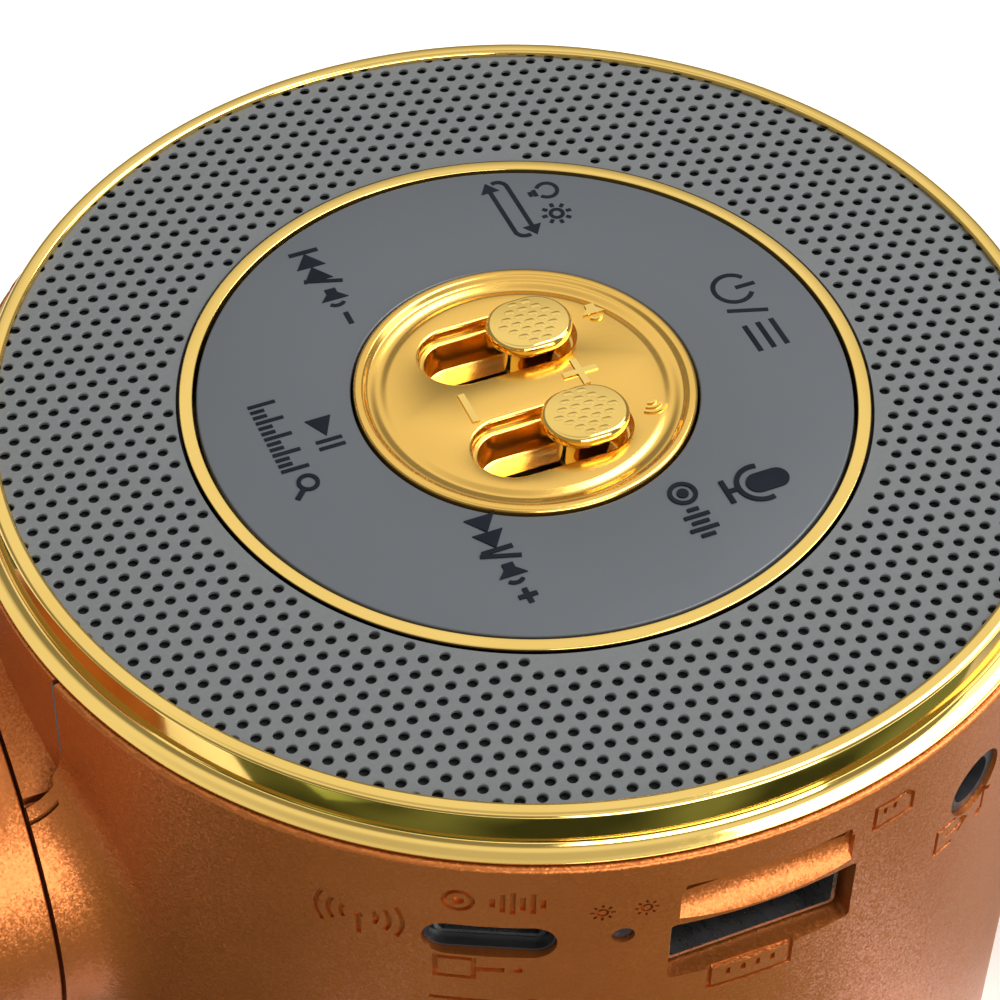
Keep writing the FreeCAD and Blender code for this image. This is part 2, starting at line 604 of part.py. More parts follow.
def build():
    front = speaker(FRONT_SHELF_Z + SHELF_T, 8.0, 15.0, 5.0)
    back = speaker(DRUM_DEPTH - BACK_SHELF_Z, 9.0, 17.0, 7.0)
    parts = {
        "drum_housing": drum_housing(),
        "front_rim": front_rim(),
        "back_rim": flipped(front_rim()),
        "front_grille": front_grille(),
        "back_grille": back_grille(),
        "front_frame": front_frame(),
        "back_frame": back_frame(),
        "back_centre_plate": back_centre_plate(),
        "front_screws": front_screws(),
        "inner_trim_ring": inner_trim_ring(),
        "control_ring": control_ring(),
        "tact_switches": tact_switches(),
        "centre_plate": centre_plate(),
        "control_board": control_board(),
        "board_chips": board_chips(),
        "usb_socket": usb_socket(),
        "usb_tongue": usb_tongue(),
        "micro_usb_socket": micro_usb_socket(),
        "micro_usb_tongue": micro_usb_tongue(),
        "card_socket": card_socket(),
        "audio_jack": audio_jack(),
        "led_lens": led_lens(),
        "handle_tube": handle_tube(),
        "seam_sleeve": seam_sleeve(),
        "handle_trim_ring": handle_trim_ring(),
        "handle_end_cap": handle_end_cap(),
        "battery_cell": battery_cell(),
        "battery_cradle": battery_cradle(),
        "battery_contacts": battery_contacts(),
        "head_collar": head_collar(),
        "collar_trim_ring": collar_trim_ring(),
        "head_thread_ring": head_thread_ring(),
        "lower_mesh": lower_mesh(),
        "upper_mesh": upper_mesh(),
        "head_band": head_band(),
        "head_foam": head_foam(),
        "capsule_holder": capsule_holder(),
        "mic_capsule": mic_capsule(),
        "neck_plate": neck_plate(),
    }
    for name, y in (("volume", SLOT_Y), ("echo", -SLOT_Y)):
        parts[name + "_fader"] = fader(y)
        parts[name + "_lever"] = lever(y)
        parts[name + "_knob"] = knob(y)
    for piece, a, b in zip(("basket", "cone", "magnet"), front, back):
        parts["front_speaker_" + piece] = a
        parts["back_speaker_" + piece] = flipped(b)
    return parts


os.makedirs("parts", exist_ok=True)
for node, shape in build().items():
    solids = shape.Solids
    if not solids:
        raise RuntimeError(f"{node} holds no solid")
    shape.exportStep(f"parts/{node}.step")
    print(f"{node}: {len(solids)} solid(s), {shape.Volume / 1000:.2f} cm3")
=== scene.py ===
"""The karaoke microphone's looks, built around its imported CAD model.

The frame is the CAD's own: the drum's axis is Z, its back rests on z = 0, and +X runs along the microphone to
its head. Lengths are in millimetres, and MM turns them into Blender's metres.
"""

import json
import math

import bmesh
import bpy
from mathutils import Matrix, Vector
from mathutils.bvhtree import BVHTree
from mathutils.geometry import delaunay_2d_cdt

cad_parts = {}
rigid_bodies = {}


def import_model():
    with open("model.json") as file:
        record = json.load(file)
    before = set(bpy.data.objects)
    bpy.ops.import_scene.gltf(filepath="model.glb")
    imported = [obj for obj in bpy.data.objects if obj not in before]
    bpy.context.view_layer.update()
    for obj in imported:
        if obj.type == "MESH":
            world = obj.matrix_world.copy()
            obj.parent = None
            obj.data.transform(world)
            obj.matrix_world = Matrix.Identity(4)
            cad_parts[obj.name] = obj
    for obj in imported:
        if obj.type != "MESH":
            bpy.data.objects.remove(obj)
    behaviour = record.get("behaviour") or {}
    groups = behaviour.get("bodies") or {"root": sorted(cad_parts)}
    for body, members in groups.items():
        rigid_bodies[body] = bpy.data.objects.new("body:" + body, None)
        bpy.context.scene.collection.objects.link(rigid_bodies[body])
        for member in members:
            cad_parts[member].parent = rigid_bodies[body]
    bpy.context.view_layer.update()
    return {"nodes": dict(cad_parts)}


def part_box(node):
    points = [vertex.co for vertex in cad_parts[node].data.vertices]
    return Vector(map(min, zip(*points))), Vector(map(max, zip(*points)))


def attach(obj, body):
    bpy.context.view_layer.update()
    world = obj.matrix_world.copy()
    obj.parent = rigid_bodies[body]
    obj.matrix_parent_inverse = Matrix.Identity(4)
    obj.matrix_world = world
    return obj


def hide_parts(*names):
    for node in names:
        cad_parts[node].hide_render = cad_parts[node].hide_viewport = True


MM = 0.001
WELD_REACH = 2e-7       # metres
SMOOTH_ANGLE = 32       # edges sharper than this many degrees stay sharp

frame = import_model()


def corners(node):
    """A CAD node's lowest and highest corners."""
    low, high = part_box(node)
    return low / MM, high / MM


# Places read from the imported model
WALL_LOW, WALL_HIGH = corners("drum_housing")
RIM_TOP = corners("front_rim")[1].z
RIM_BOTTOM = corners("front_rim")[0].z
RIM_R = corners("front_rim")[1].x
FACE_Z = corners("control_ring")[1].z
RING_OUT_R = corners("control_ring")[1].x
TRIM_OUT_R = corners("inner_trim_ring")[1].x
TRIM_TOP = corners("inner_trim_ring")[1].z
SHEET_LOW, SHEET_HIGH = corners("front_grille")
PLATE_LOW, PLATE_HIGH = corners("centre_plate")
TUBE_LOW, TUBE_HIGH = corners("handle_tube")
CAP_LOW, CAP_HIGH = corners("handle_end_cap")
FOOT_RING_LOW, FOOT_RING_HIGH = corners("handle_trim_ring")
COLLAR_RING_LOW, COLLAR_RING_HIGH = corners("collar_trim_ring")
THREAD_LOW, THREAD_HIGH = corners("head_thread_ring")
BAND_LOW, BAND_HIGH = corners("head_band")
BOWL_LOW, BOWL_HIGH = corners("lower_mesh")
DOME_LOW, DOME_HIGH = corners("upper_mesh")
FOAM_LOW, FOAM_HIGH = corners("head_foam")

DRUM_R = WALL_HIGH.y
MID_Z = (WALL_LOW.z + WALL_HIGH.z) / 2
AXIS_Z = (TUBE_LOW.z + TUBE_HIGH.z) / 2
BALL_X = (BAND_LOW.x + BAND_HIGH.x) / 2
BALL_R = DOME_HIGH.x - BALL_X
RIM_GAP = 0.15
RIM_FOOT = WALL_HIGH.z + RIM_GAP

# Sizes that belong to the looks only
TURN_STEPS = 288
HOLE_R = 0.39
HOLE_PITCH = 1.5
SHEET_OUT_R = 39.55
LATTICE_TURN = math.radians(-14)
WIRE_R = 0.22
WIRE_PITCH = 1.35
WEAVE_R = BALL_R - 2 * WIRE_R - 0.02        # the ball through the middle of the woven wires
ICON_RAISE = 0.02
MARK_DEPTH = 0.3
SHEET_T = 0.3


# ---- mesh building ----

class Shell:
    """Vertices and faces of one piece. A loop is a list of vertex numbers that closes on itself."""

    def __init__(self):
        self.verts = []
        self.faces = []

    def loop(self, points):
        first = len(self.verts)
        self.verts.extend(Vector(p) for p in points)
        return list(range(first, len(self.verts)))

    def bands(self, loops):
        """Quads between each loop and the next. Every loop has the same number of points."""
        for a, b in zip(loops, loops[1:]):
            for k in range(len(a)):
                n = (k + 1) % len(a)
                self.faces.append((a[k], a[n], b[n], b[k]))

    def cap(self, loop):
        self.faces.append(tuple(loop))

    def prism(self, loops):
        """Bands between loops, with a cap at each end."""
        self.bands(loops)
        self.cap(loops[0])
        self.cap(loops[-1])

    def block(self, x0, x1, y0, y1, z0, z1):
        self.prism([self.loop([(x0, y0, z), (x1, y0, z), (x1, y1, z), (x0, y1, z)]) for z in (z0, z1)])

    def level(self, outer, holes):
        """Triangles between an outer loop and convex holes, all in one level plane."""
        points, edges, numbers, owners = [], [], [], []
        for owner, loop in enumerate([outer] + holes):
            first = len(points)
            for k, number in enumerate(loop):
                points.append(self.verts[number].xy)
                edges.append((first + k, first + (k + 1) % len(loop)))
                numbers.append(number)
                owners.append(owner)
        _, _, triangles, origins, _, _ = delaunay_2d_cdt(points, edges, [], 0, 1e-7)
        for triangle in triangles:
            corner = [origins[k][0] for k in triangle]
            around = {owners[k] for k in corner}
            if len(around) > 1 or around == {0}:
                self.faces.append(tuple(numbers[k] for k in corner))


def rounded(points, steps=6):
    """A closed section. A point (u, w, r) is a corner rounded with radius r."""
    section = []
    count = len(points)
    for k, point in enumerate(points):
        corner = Vector(point[:2])
        if len(point) == 2:
            section.append(corner)
            continue
        back = (Vector(points[k - 1][:2]) - corner).normalized()
        ahead = (Vector(points[(k + 1) % count][:2]) - corner).normalized()
        half = back.angle(ahead) / 2
        centre = corner + (back + ahead).normalized() * (point[2] / math.sin(half))
        start = corner + back * (point[2] / math.tan(half)) - centre
        end = corner + ahead * (point[2] / math.tan(half)) - centre
        sweep = math.copysign(math.pi - 2 * half, start.x * end.y - start.y * end.x)
        for i in range(steps + 1):
            section.append(centre + Matrix.Rotation(sweep * i / steps, 2) @ start)
    return section


def through(a, b, c, steps):
    """Points on the arc from a through b to c."""
    a, b, c = Vector(a), Vector(b), Vector(c)
    ab, ac = b - a, c - a
    twice = 2 * (ab.x * ac.y - ab.y * ac.x)
    centre = a + Vector((ac.y * ab.length_squared - ab.y * ac.length_squared,
                         ab.x * ac.length_squared - ac.x * ab.length_squared)) / twice
    start, end = a - centre, c - centre
    sweep = math.atan2(start.x * end.y - start.y * end.x, start.dot(end))
    return [centre + Matrix.Rotation(sweep * i / steps, 2) @ start for i in range(steps + 1)]


def circle(r, z, steps=TURN_STEPS, x=0.0, y=0.0):
    turns = [2 * math.pi * k / steps for k in range(steps)]
    return [(x + r * math.cos(a), y + r * math.sin(a), z) for a in turns]


def hoop(x, r):
    """A circle about the microphone's long axis."""
    turns = [2 * math.pi * k / TURN_STEPS for k in range(TURN_STEPS)]
    return [(x, r * math.cos(a), AXIS_Z + r * math.sin(a)) for a in turns]


def turned(section):
    """A closed section of (r, z) points turned about the drum's axis."""
    shell = Shell()
    loops = [shell.loop(circle(r, z)) for r, z in section]
    shell.bands(loops + loops[:1])
    return shell


def spun(section):
    """A closed section of (x, r) points turned about the long axis."""
    shell = Shell()
    loops = [shell.loop(hoop(x, r)) for x, r in section]
    shell.bands(loops + loops[:1])
    return shell


def upside_down(shell):
    """The same shell on the drum's other face."""
    shell.verts = [Vector((v.x, v.y, 2 * MID_Z - v.z)) for v in shell.verts]
    return shell


def stadium(length, width, z, x=0.0, y=0.0, grow=0.0, steps=24):
    """A loop with round ends, long along X, moved outwards by grow."""
    r = width / 2 + grow
    half = (length - width) / 2
    points = []
    for side, start in ((1, -90), (-1, 90)):
        for k in range(steps + 1):
            a = math.radians(start + 180 * k / steps)
            points.append((x + side * half + r * math.cos(a), y + r * math.sin(a), z))
    return points


def weld(mesh, outward=False):
    """Joins points that coincide and, if asked, turns every face outwards."""
    work = bmesh.new()
    work.from_mesh(mesh)
    bmesh.ops.remove_doubles(work, verts=work.verts, dist=WELD_REACH)
    if outward:
        bmesh.ops.recalc_face_normals(work, faces=work.faces)
    work.to_mesh(mesh)
    work.free()
    return mesh


def tidy_mesh(name, shell):
    mesh = bpy.data.meshes.new(name)
    mesh.from_pydata([v * MM for v in shell.verts], [], shell.faces)
    return weld(mesh, outward=True)


def linked(name, data):
    """A new object in the scene."""
    made = bpy.data.objects.new(name, data)
    bpy.context.scene.collection.objects.link(made)
    return made


def show(name, mesh, body, slot, replaces=(), crease=SMOOTH_ANGLE):
    """Makes a mesh a piece that rides on a CAD body and wears its slot's look."""
    if crease:
        mesh.shade_smooth()
        mesh.set_sharp_from_angle(angle=math.radians(crease))
    mesh.materials.append(LOOKS[slot])
    piece = linked(name, mesh)
    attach(piece, body)
    if replaces:
        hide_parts(*replaces)
    return piece


def show_shell(name, shell, body, slot, replaces=(), crease=SMOOTH_ANGLE):
    return show(name, tidy_mesh(name, shell), body, slot, replaces, crease)


# ---- materials ----

class Look:
    """A material with a Principled shader, and the few node calls that the recipes share."""

    def __init__(self, colour, **sockets):
        self.material = bpy.data.materials.new("look")
        self.material.use_nodes = True
        self.tree = self.material.node_tree
        self.shader = self.tree.nodes["Principled BSDF"]
        self.shader.inputs["Base Color"].default_value = (*colour, 1)
        for socket, value in sockets.items():
            self.shader.inputs[socket.replace("_", " ")].default_value = value
        self.place = self.add("ShaderNodeTexCoord").outputs["Object"]

    def add(self, kind, inputs=None, **settings):
        """A node whose inputs are set to values, or joined to other nodes' outputs."""
        node = self.tree.nodes.new(kind)
        for key, value in settings.items():
            setattr(node, key, value)
        for key, value in (inputs or {}).items():
            if isinstance(value, bpy.types.NodeSocket):
                self.join(value, node.inputs[key])
            else:
                node.inputs[key].default_value = value
        return node

    def join(self, a, b):
        self.tree.links.new(a, b)

    def stretched(self, x, y, z):
        """Coordinates scaled along each axis, for brushed and moulded grain."""
        return self.add("ShaderNodeMapping", {"Scale": (x, y, z), "Vector": self.place}).outputs["Vector"]

    def noise(self, size, detail=2.0, rough=0.5, place=None):
        """Noise whose features are about size millimetres across."""
        return self.add("ShaderNodeTexNoise", {
            "Scale": 1 / (size * MM), "Detail": detail, "Roughness": rough, "Vector": place or self.place,
        }).outputs["Fac"]

    def cells(self, size):
        """The colour and the distance outputs of cells about size millimetres across."""
        return self.add("ShaderNodeTexVoronoi", {"Scale": 1 / (size * MM), "Vector": self.place}).outputs

    def spread(self, factor, low, high, start=0.3, end=0.7):
        """Maps a factor from start..end to low..high."""
        return self.add("ShaderNodeMapRange", {
            "From Min": start, "From Max": end, "To Min": low, "To Max": high, "Value": factor,
        }).outputs["Result"]

    def vector(self, operation, inputs):
        return self.add("ShaderNodeVectorMath", inputs, operation=operation).outputs["Vector"]

    def tint(self, factor, dark, light, start=0.3, end=0.7):
        """Mixes two colours by a factor."""
        node = self.add("ShaderNodeMix", data_type="RGBA")
        ends = [s for s in node.inputs if s.type == "RGBA"]
        ends[0].default_value = (*dark, 1)
        ends[1].default_value = (*light, 1)
        self.join(self.spread(factor, 0, 1, start, end), node.inputs["Factor"])
        mixed = [s for s in node.outputs if s.type == "RGBA"][0]
        self.join(mixed, self.shader.inputs["Base Color"])

    def tilted_flakes(self, size, tilt):
        """Leans the normal a different way in each of many small cells."""
        centred = self.vector("SUBTRACT", {0: self.cells(size)["Color"], 1: (0.5, 0.5, 0.5)})
        lean = self.vector("SCALE", {0: centred, "Scale": tilt})
        normal = self.add("ShaderNodeNewGeometry").outputs["Normal"]
        unit = self.vector("NORMALIZE", {0: self.vector("ADD", {0: normal, 1: lean})})
        self.join(unit, self.shader.inputs["Normal"])
        self.join(unit, self.shader.inputs["Coat Normal"])

    def rough(self, factor, low, high):
        self.join(self.spread(factor, low, high), self.shader.inputs["Roughness"])

    def bumps(self, height, depth):
        """Bumps whose height follows a factor, depth millimetres deep."""
        node = self.add("ShaderNodeBump", {"Strength": 1.0, "Distance": depth * MM, "Height": height})
        self.join(node.outputs["Normal"], self.shader.inputs["Normal"])


def copper_paint():
    """Sprayed metallic copper: coarse flakes, each tilted a little its own way, under a thin clear coat."""
    look = Look((0.46, 0.13, 0.02), Metallic=0.8, Coat_Weight=0.3, Coat_Roughness=0.35)
    look.tint(look.noise(5, 2), (0.45, 0.125, 0.018), (0.48, 0.135, 0.022))
    look.rough(look.noise(0.35, 3), 0.36, 0.42)
    look.tilted_flakes(0.13, 0.22)
    return look.material


def plain(colour, dark, light, mottle, low, high, haze, depth, grain, **sockets):
    """A mottle from dark to light, a roughness from low to high, and bumps of one depth.

    mottle, haze and grain are the size in millimetres and the detail of the noise behind each of the three.
    """
    look = Look(colour, **sockets)
    look.tint(look.noise(*mottle), dark, light)
    look.rough(look.noise(*haze), low, high)
    look.bumps(look.noise(*grain), depth)
    return look.material


def moulded(dark, light, low, high, grain, depth, shine=0.5):
    """Moulded plastic or rubber: a faint mottle and a fine grain."""
    return plain(dark, dark, light, (3, 3), low, high, (0.6, 3), depth, (grain, 3), Specular_IOR_Level=shine)


def metal(dark, light, low, high, grain=(1, 1, 1), depth=0.002):
    """Plain metal with a drawn or rolled grain."""
    look = Look(dark, Metallic=1.0)
    grain_noise = look.noise(0.4, 4, 0.6, look.stretched(*grain))
    look.tint(look.noise(2, 3), dark, light)
    look.rough(grain_noise, low, high)
    look.bumps(grain_noise, depth)
    return look.material


def board_green():
    """Solder mask with paler tracks under it."""
    look = Look((0.01, 0.09, 0.03), Specular_IOR_Level=0.5)
    look.tint(look.noise(1.6, 1), (0.008, 0.07, 0.022), (0.02, 0.16, 0.05), 0.48, 0.52)
    look.rough(look.noise(0.5, 2), 0.25, 0.4)
    look.bumps(look.noise(1.6, 1), 0.02)
    return look.material


def foam_black():
    """Open-celled foam: many small pores."""
    look = Look((0.02, 0.02, 0.022), Specular_IOR_Level=0.25)
    pores = look.cells(0.55)["Distance"]
    look.tint(pores, (0.035, 0.034, 0.034), (0.008, 0.008, 0.009), 0.1, 0.6)
    look.rough(look.noise(0.4, 2), 0.85, 0.98)
    look.bumps(pores, 0.12)
    return look.material


def floor_white():
    look = Look((0.95, 0.95, 0.95), Specular_IOR_Level=0.2)
    look.tint(look.noise(60, 3), (0.945, 0.945, 0.94), (0.96, 0.96, 0.955))
    look.rough(look.noise(4, 3), 0.7, 0.8)
    return look.material


def flag_look(colour):
    look = Look(colour, Specular_IOR_Level=0.0)
    look.tint(look.noise(70, 1), [c * 0.3 for c in colour], [c * 1.4 for c in colour], 0.4, 0.6)
    look.rough(look.noise(8, 2), 0.9, 1.0)
    return look.material


LOOKS = {
    "copper_paint": copper_paint(),
    # Bright plating, slightly uneven over the moulding below it
    "gold_plate": plain((0.88, 0.60, 0.17), (0.86, 0.58, 0.155), (0.90, 0.62, 0.18), (9, 1),
                        0.06, 0.10, (0.8, 4), 0.003, (2.5, 1), Metallic=1.0),
    "satin_gold": plain((0.86, 0.52, 0.12), (0.85, 0.51, 0.115), (0.87, 0.53, 0.125), (12, 1),
                        0.19, 0.21, (0.5, 2), 0.0008, (3, 1), Metallic=1.0),
    # Matt paint on steel, with a little orange peel
    "grille_grey": plain((0.115, 0.12, 0.121), (0.110, 0.115, 0.116), (0.120, 0.125, 0.126), (0.3, 3),
                         0.5, 0.6, (0.5, 3), 0.002, (0.25, 2), Metallic=0.0, Specular_IOR_Level=0.3),
    # Smooth gunmetal lacquer
    "key_grey": plain((0.078, 0.085, 0.093), (0.076, 0.083, 0.091), (0.080, 0.087, 0.095), (14, 1),
                      0.30, 0.32, (2, 1), 0.0006, (4, 1), Metallic=0.1, Specular_IOR_Level=0.45),
    # Smoky plastic, dark while the light is off
    "lens_clear": plain((0.03, 0.03, 0.034), (0.02, 0.02, 0.023), (0.035, 0.035, 0.04), (0.8, 2),
                        0.12, 0.25, (0.3, 2), 0.002, (0.3, 2), Specular_IOR_Level=0.5),
    "black_plastic": moulded((0.014, 0.014, 0.016), (0.022, 0.022, 0.024), 0.35, 0.5, 0.15, 0.004),
    "rubber_black": moulded((0.012, 0.012, 0.013), (0.02, 0.02, 0.021), 0.65, 0.85, 0.3, 0.01),
    "chip_black": moulded((0.007, 0.009, 0.013), (0.011, 0.013, 0.018), 0.6, 0.7, 0.5, 0.001, shine=0.05),
    "cone_black": moulded((0.01, 0.01, 0.011), (0.018, 0.018, 0.018), 0.7, 0.9, 0.5, 0.03),
    "cell_wrap": moulded((0.03, 0.12, 0.3), (0.04, 0.15, 0.36), 0.2, 0.3, 1.5, 0.003),
    "steel": metal((0.50, 0.50, 0.51), (0.56, 0.56, 0.57), 0.25, 0.32, (1, 0.4, 1), 0.0004),
    "zinc_screw": metal((0.55, 0.56, 0.58), (0.68, 0.69, 0.70), 0.25, 0.4),
    "magnet_dark": metal((0.06, 0.06, 0.065), (0.09, 0.09, 0.095), 0.4, 0.6),
    "mesh_gold": metal((0.80, 0.52, 0.17), (0.90, 0.62, 0.24), 0.2, 0.32),
    "board_green": board_green(),
    "foam_black": foam_black(),
}
for slot_name, material in LOOKS.items():
    material.name = slot_name + "_look"


# ---- signs: small line drawings for the keys and the ports ----

def arc_line(u, v, r, start, end, steps=20):
    turns = [math.radians(start + (end - start) * k / steps) for k in range(steps + 1)]
    return [(u + r * math.cos(a), v + r * math.sin(a)) for a in turns]


def ring_line(u, v, r, steps=28):
    return arc_line(u, v, r, 0, 360 - 360 / steps, steps - 1)


class Pen:
    """Draws signs as prisms on a surface. place(u, v, h) gives the point u across, v up and h above it."""

    def __init__(self, place, top, low, taper=1.0):
        self.shell = Shell()
        self.place = place
        self.top = top
        self.low = low
        self.taper = taper      # a prism's width at its low end, as a share of its width at the top

    def sign(self, draw, u, v, size, width, *values):
        """Draws one sign about (u, v). Its own measures are shares of size, a number or (wide, high)."""
        self.centre = Vector((u, v))
        self.size = Vector(size if isinstance(size, tuple) else (size, size))
        self.width = width
        self.thin = width / self.size.x
        draw(self, *values)

    def scaled(self, line):
        return [self.centre + self.size * Vector(p) for p in line]

    def lift(self):
        """Each stroke ends a hair above the one before it, so that crossing strokes share no plane."""
        self.top += 0.0015

    def stroke(self, line, share=1.0, closed=False):
        """A bar along a line. Its width is a share of the sign's own."""
        self.lift()
        line = self.scaled(line)
        width = self.width * share
        sections = []
        for k, point in enumerate(line):
            before = line[k - 1] if k or closed else None
            after = line[(k + 1) % len(line)] if k < len(line) - 1 or closed else None
            ahead = (after - point).normalized() if after else (point - before).normalized()
            back = (point - before).normalized() if before else ahead
            along = (ahead + back).normalized()
            across = Vector((-along.y, along.x)) / max(along.dot(ahead), 0.5)
            half, low_half = across * width / 2, across * width * self.taper / 2
            sections.append(self.shell.loop([
                self.place(*(point + half), self.top), self.place(*(point - half), self.top),
                self.place(*(point - low_half), self.low), self.place(*(point + low_half), self.low)]))
        if closed:
            self.shell.bands(sections + sections[:1])
        else:
            self.shell.prism(sections)

    def ring(self, u, v, r):
        self.stroke(ring_line(u, v, r), closed=True)

    def fill(self, outline):
        """A filled convex outline."""
        self.lift()
        outline = self.scaled(outline)
        middle = sum(outline, Vector((0, 0))) / len(outline)
        shrunk = [middle + (p - middle) * (0.5 + self.taper / 2) for p in outline]
        top = self.shell.loop([self.place(*p, self.top) for p in outline])
        low = self.shell.loop([self.place(*p, self.low) for p in shrunk])
        self.shell.prism([top, low])

    def dot(self, u, v, r):
        self.fill(ring_line(u, v, r, 20))


def power_sign(pen):
    pen.stroke(arc_line(0, 0, 0.5, 125, 415))
    pen.stroke([(0, 0.08), (0, 0.62)])


def slash(pen):
    pen.stroke([(-0.16, -0.5), (0.16, 0.5)])


def list_sign(pen):
    """Three bars, for choosing a mode."""
    for v in (-0.38, 0, 0.38):
        pen.stroke([(-0.5, v), (0.5, v)])


def light_sign(pen):
    """A small sun."""
    pen.ring(0, 0, 0.2)
    for k in range(8):
        c, s = math.cos(math.pi * k / 4), math.sin(math.pi * k / 4)
        pen.stroke([(c * 0.33, s * 0.33), (c * 0.5, s * 0.5)])


def bulb_sign(pen):
    pen.stroke(arc_line(0, 0.12, 0.36, -55, 235))
    for half, v in ((0.17, -0.32), (0.12, -0.48)):
        pen.stroke([(-half, v), (half, v)])


def repeat_sign(pen, half, r, head):
    """A long loop with two arrow heads."""
    for side in (1, -1):
        bend = arc_line(-side * half, 0, r, 110 + side * 90, side * 90, 12)
        pen.stroke(bend + [(side * (half - 0.2), side * r)])
    for side in (1, -1):
        pen.fill([(side * (half - 0.2), side * r + head), (side * (half + 0.9), side * r),
                  (side * (half - 0.2), side * r - head)])


def wedge(pen, u=0.0, wide=1.0, high=1.0, side=1):
    """A filled triangle that points to the right (side 1) or to the left (side -1)."""
    pen.fill([(u - side * wide / 2, high / 2), (u + side * wide / 2, 0), (u - side * wide / 2, -high / 2)])


def pause_sign(pen):
    for u in (-0.5, 0.5):
        pen.stroke([(u, -0.5), (u, 0.5)])


def skip_sign(pen, side):
    for u in (-0.42, 0.13):
        wedge(pen, side * u, 0.55, 0.8, side)
    pen.stroke([(side * 0.47, -0.4), (side * 0.47, 0.4)])


def speaker_sign(pen):
    pen.fill([(-0.41, -0.18), (-0.19, -0.18), (-0.19, 0.18), (-0.41, 0.18)])
    pen.fill([(-0.19, -0.18), (0.1, -0.45), (0.1, 0.45), (-0.19, 0.18)])
    pen.stroke(arc_line(0.08, 0, 0.3, -48, 48, 10))


def minus(pen):
    pen.stroke([(-0.5, 0), (0.5, 0)])


def plus(pen):
    """A cross made of one bar and two half bars that meet its sides."""
    minus(pen)
    for side in (1, -1):
        pen.stroke([(0, side * pen.thin / 2), (0, side * 0.5)])


def dial_sign(pen, marks):
    """A tuning scale: a row of long and short marks."""
    for k in range(marks):
        u = k / (marks - 1) - 0.5
        pen.stroke([(u, -0.5), (u, 0 if k % 3 else 0.5)])


def search_sign(pen):
    pen.ring(-0.12, 0.12, 0.3)
    pen.stroke([(0.1, -0.1), (0.45, -0.45)], 1.3)


def sound_sign(pen, *heights):
    """A row of bars like a sound wave."""
    for k, share in enumerate(heights):
        u = k / (len(heights) - 1) - 0.5
        pen.stroke([(u, -share / 2), (u, share / 2)])


def waves_sign(pen):
    for r in (0.5, 0.95, 1.4):
        pen.stroke(arc_line(0, 0, r, -40, 40, 8))


def record_sign(pen):
    pen.ring(0, 0, 0.5 - pen.thin / 2)
    pen.dot(0, 0, 0.2)


def singer_sign(pen):
    """A stage microphone in its holder."""
    pen.fill(arc_line(0, 0.32, 0.2, 0, 180, 12) + arc_line(0, 0, 0.2, 180, 360, 12))
    pen.stroke(arc_line(0, 0.02, 0.36, 165, 375, 18))
    pen.stroke([(0, -0.34), (0, -0.54)])
    pen.stroke([(-0.25, -0.54), (0.25, -0.54)])


def mast_sign(pen):
    """An antenna with waves on both sides."""
    pen.stroke([(0, -0.5), (0, 0.15)])
    pen.dot(0, 0.2, 0.12)
    for side in (0, 180):
        for r in (0.42, 0.72, 1.02):
            pen.stroke(arc_line(0, 0.2, r, side - 32, side + 32, 10))


def plug_sign(pen):
    """A jack plug lying down."""
    pen.stroke([(-0.1, -0.16), (-0.5, -0.16), (-0.5, 0.16), (-0.1, 0.16)], closed=True)
    pen.stroke([(-0.08, 0), (0.22, 0)], 1.5)
    pen.dot(0.36, 0, pen.thin * 0.8)


def supply_sign(pen):
    """Direct current: a bar over three dashes."""
    pen.stroke([(-0.5, 0.16), (0.5, 0.16)])
    for u in (-0.38, 0, 0.38):
        pen.stroke([(u - 0.12, -0.16), (u + 0.12, -0.16)])


def card_sign(pen):
    """A memory card with one cut corner and its contacts."""
    pen.stroke([(-0.5, -0.5), (0.5, -0.5), (0.5, 0.15), (0.3, 0.5), (-0.5, 0.5)], closed=True)
    for u in (-0.25, 0):
        pen.stroke([(u, 0.025), (u, 0.3)], 0.9)


def socket_sign(pen):
    """A flat plug seen from its mouth."""
    pen.stroke([(-0.5, -0.5), (0.5, -0.5), (0.5, 0.5), (-0.5, 0.5)], closed=True)
    for u in (-0.275, -0.09, 0.09, 0.275):
        pen.stroke([(u, -0.05), (u, 0.25)])


def out_sign(pen):
    """An arrow that leaves a bracket, and a note."""
    pen.stroke([(-0.2, 0.2), (-0.5, 0.2), (-0.5, -0.2), (-0.2, -0.2)])
    pen.stroke([(-0.35, 0), (0.02, 0)])
    pen.stroke([(-0.1, 0.12), (0.03, 0), (-0.1, -0.12)])
    pen.dot(0.3, -0.16, 0.07)
    pen.stroke([(0.36, -0.16), (0.36, 0.2), (0.5, 0.1)])


# ---- drum ----

def drum_marks():
    """Cutters for the signs pressed into the wall beside the ports."""
    shells = []

    def press(draw, arc, z, size, width=0.46, *values):
        def place(u, v, h):
            a = math.radians(-90) + (arc + u) / DRUM_R
            r = DRUM_R + h
            return Vector((r * math.cos(a), r * math.sin(a), z + v))
        pen = Pen(place, 0.3, -MARK_DEPTH, 0.6)
        pen.sign(draw, 0, 0, size, width, *values)
        shells.append(pen.shell)

    press(mast_sign, -28.4, 65.0, 3.0)
    press(record_sign, -21.6, 69.0, 2.4)
    press(sound_sign, -17.6, 69.0, (3.4, 2.4), 0.46, 0.4, 0.8, 1.0, 0.6, 0.9, 0.4)
    press(plug_sign, -19.8, 61.4, 6.6)
    press(supply_sign, -21.4, 57.0, 4.2)
    press(record_sign, -16.4, 57.0, 2.2)
    press(light_sign, -11.9, 67.7, 1.7, 0.24)
    press(light_sign, -8.9, 67.7, 1.7, 0.24)
    press(card_sign, 9.9, 69.0, (3.4, 2.3))
    press(socket_sign, -0.8, 57.9, (6.2, 2.3))
    press(out_sign, 18.6, 60.3, 6.4)
    return shells + strip_lines()


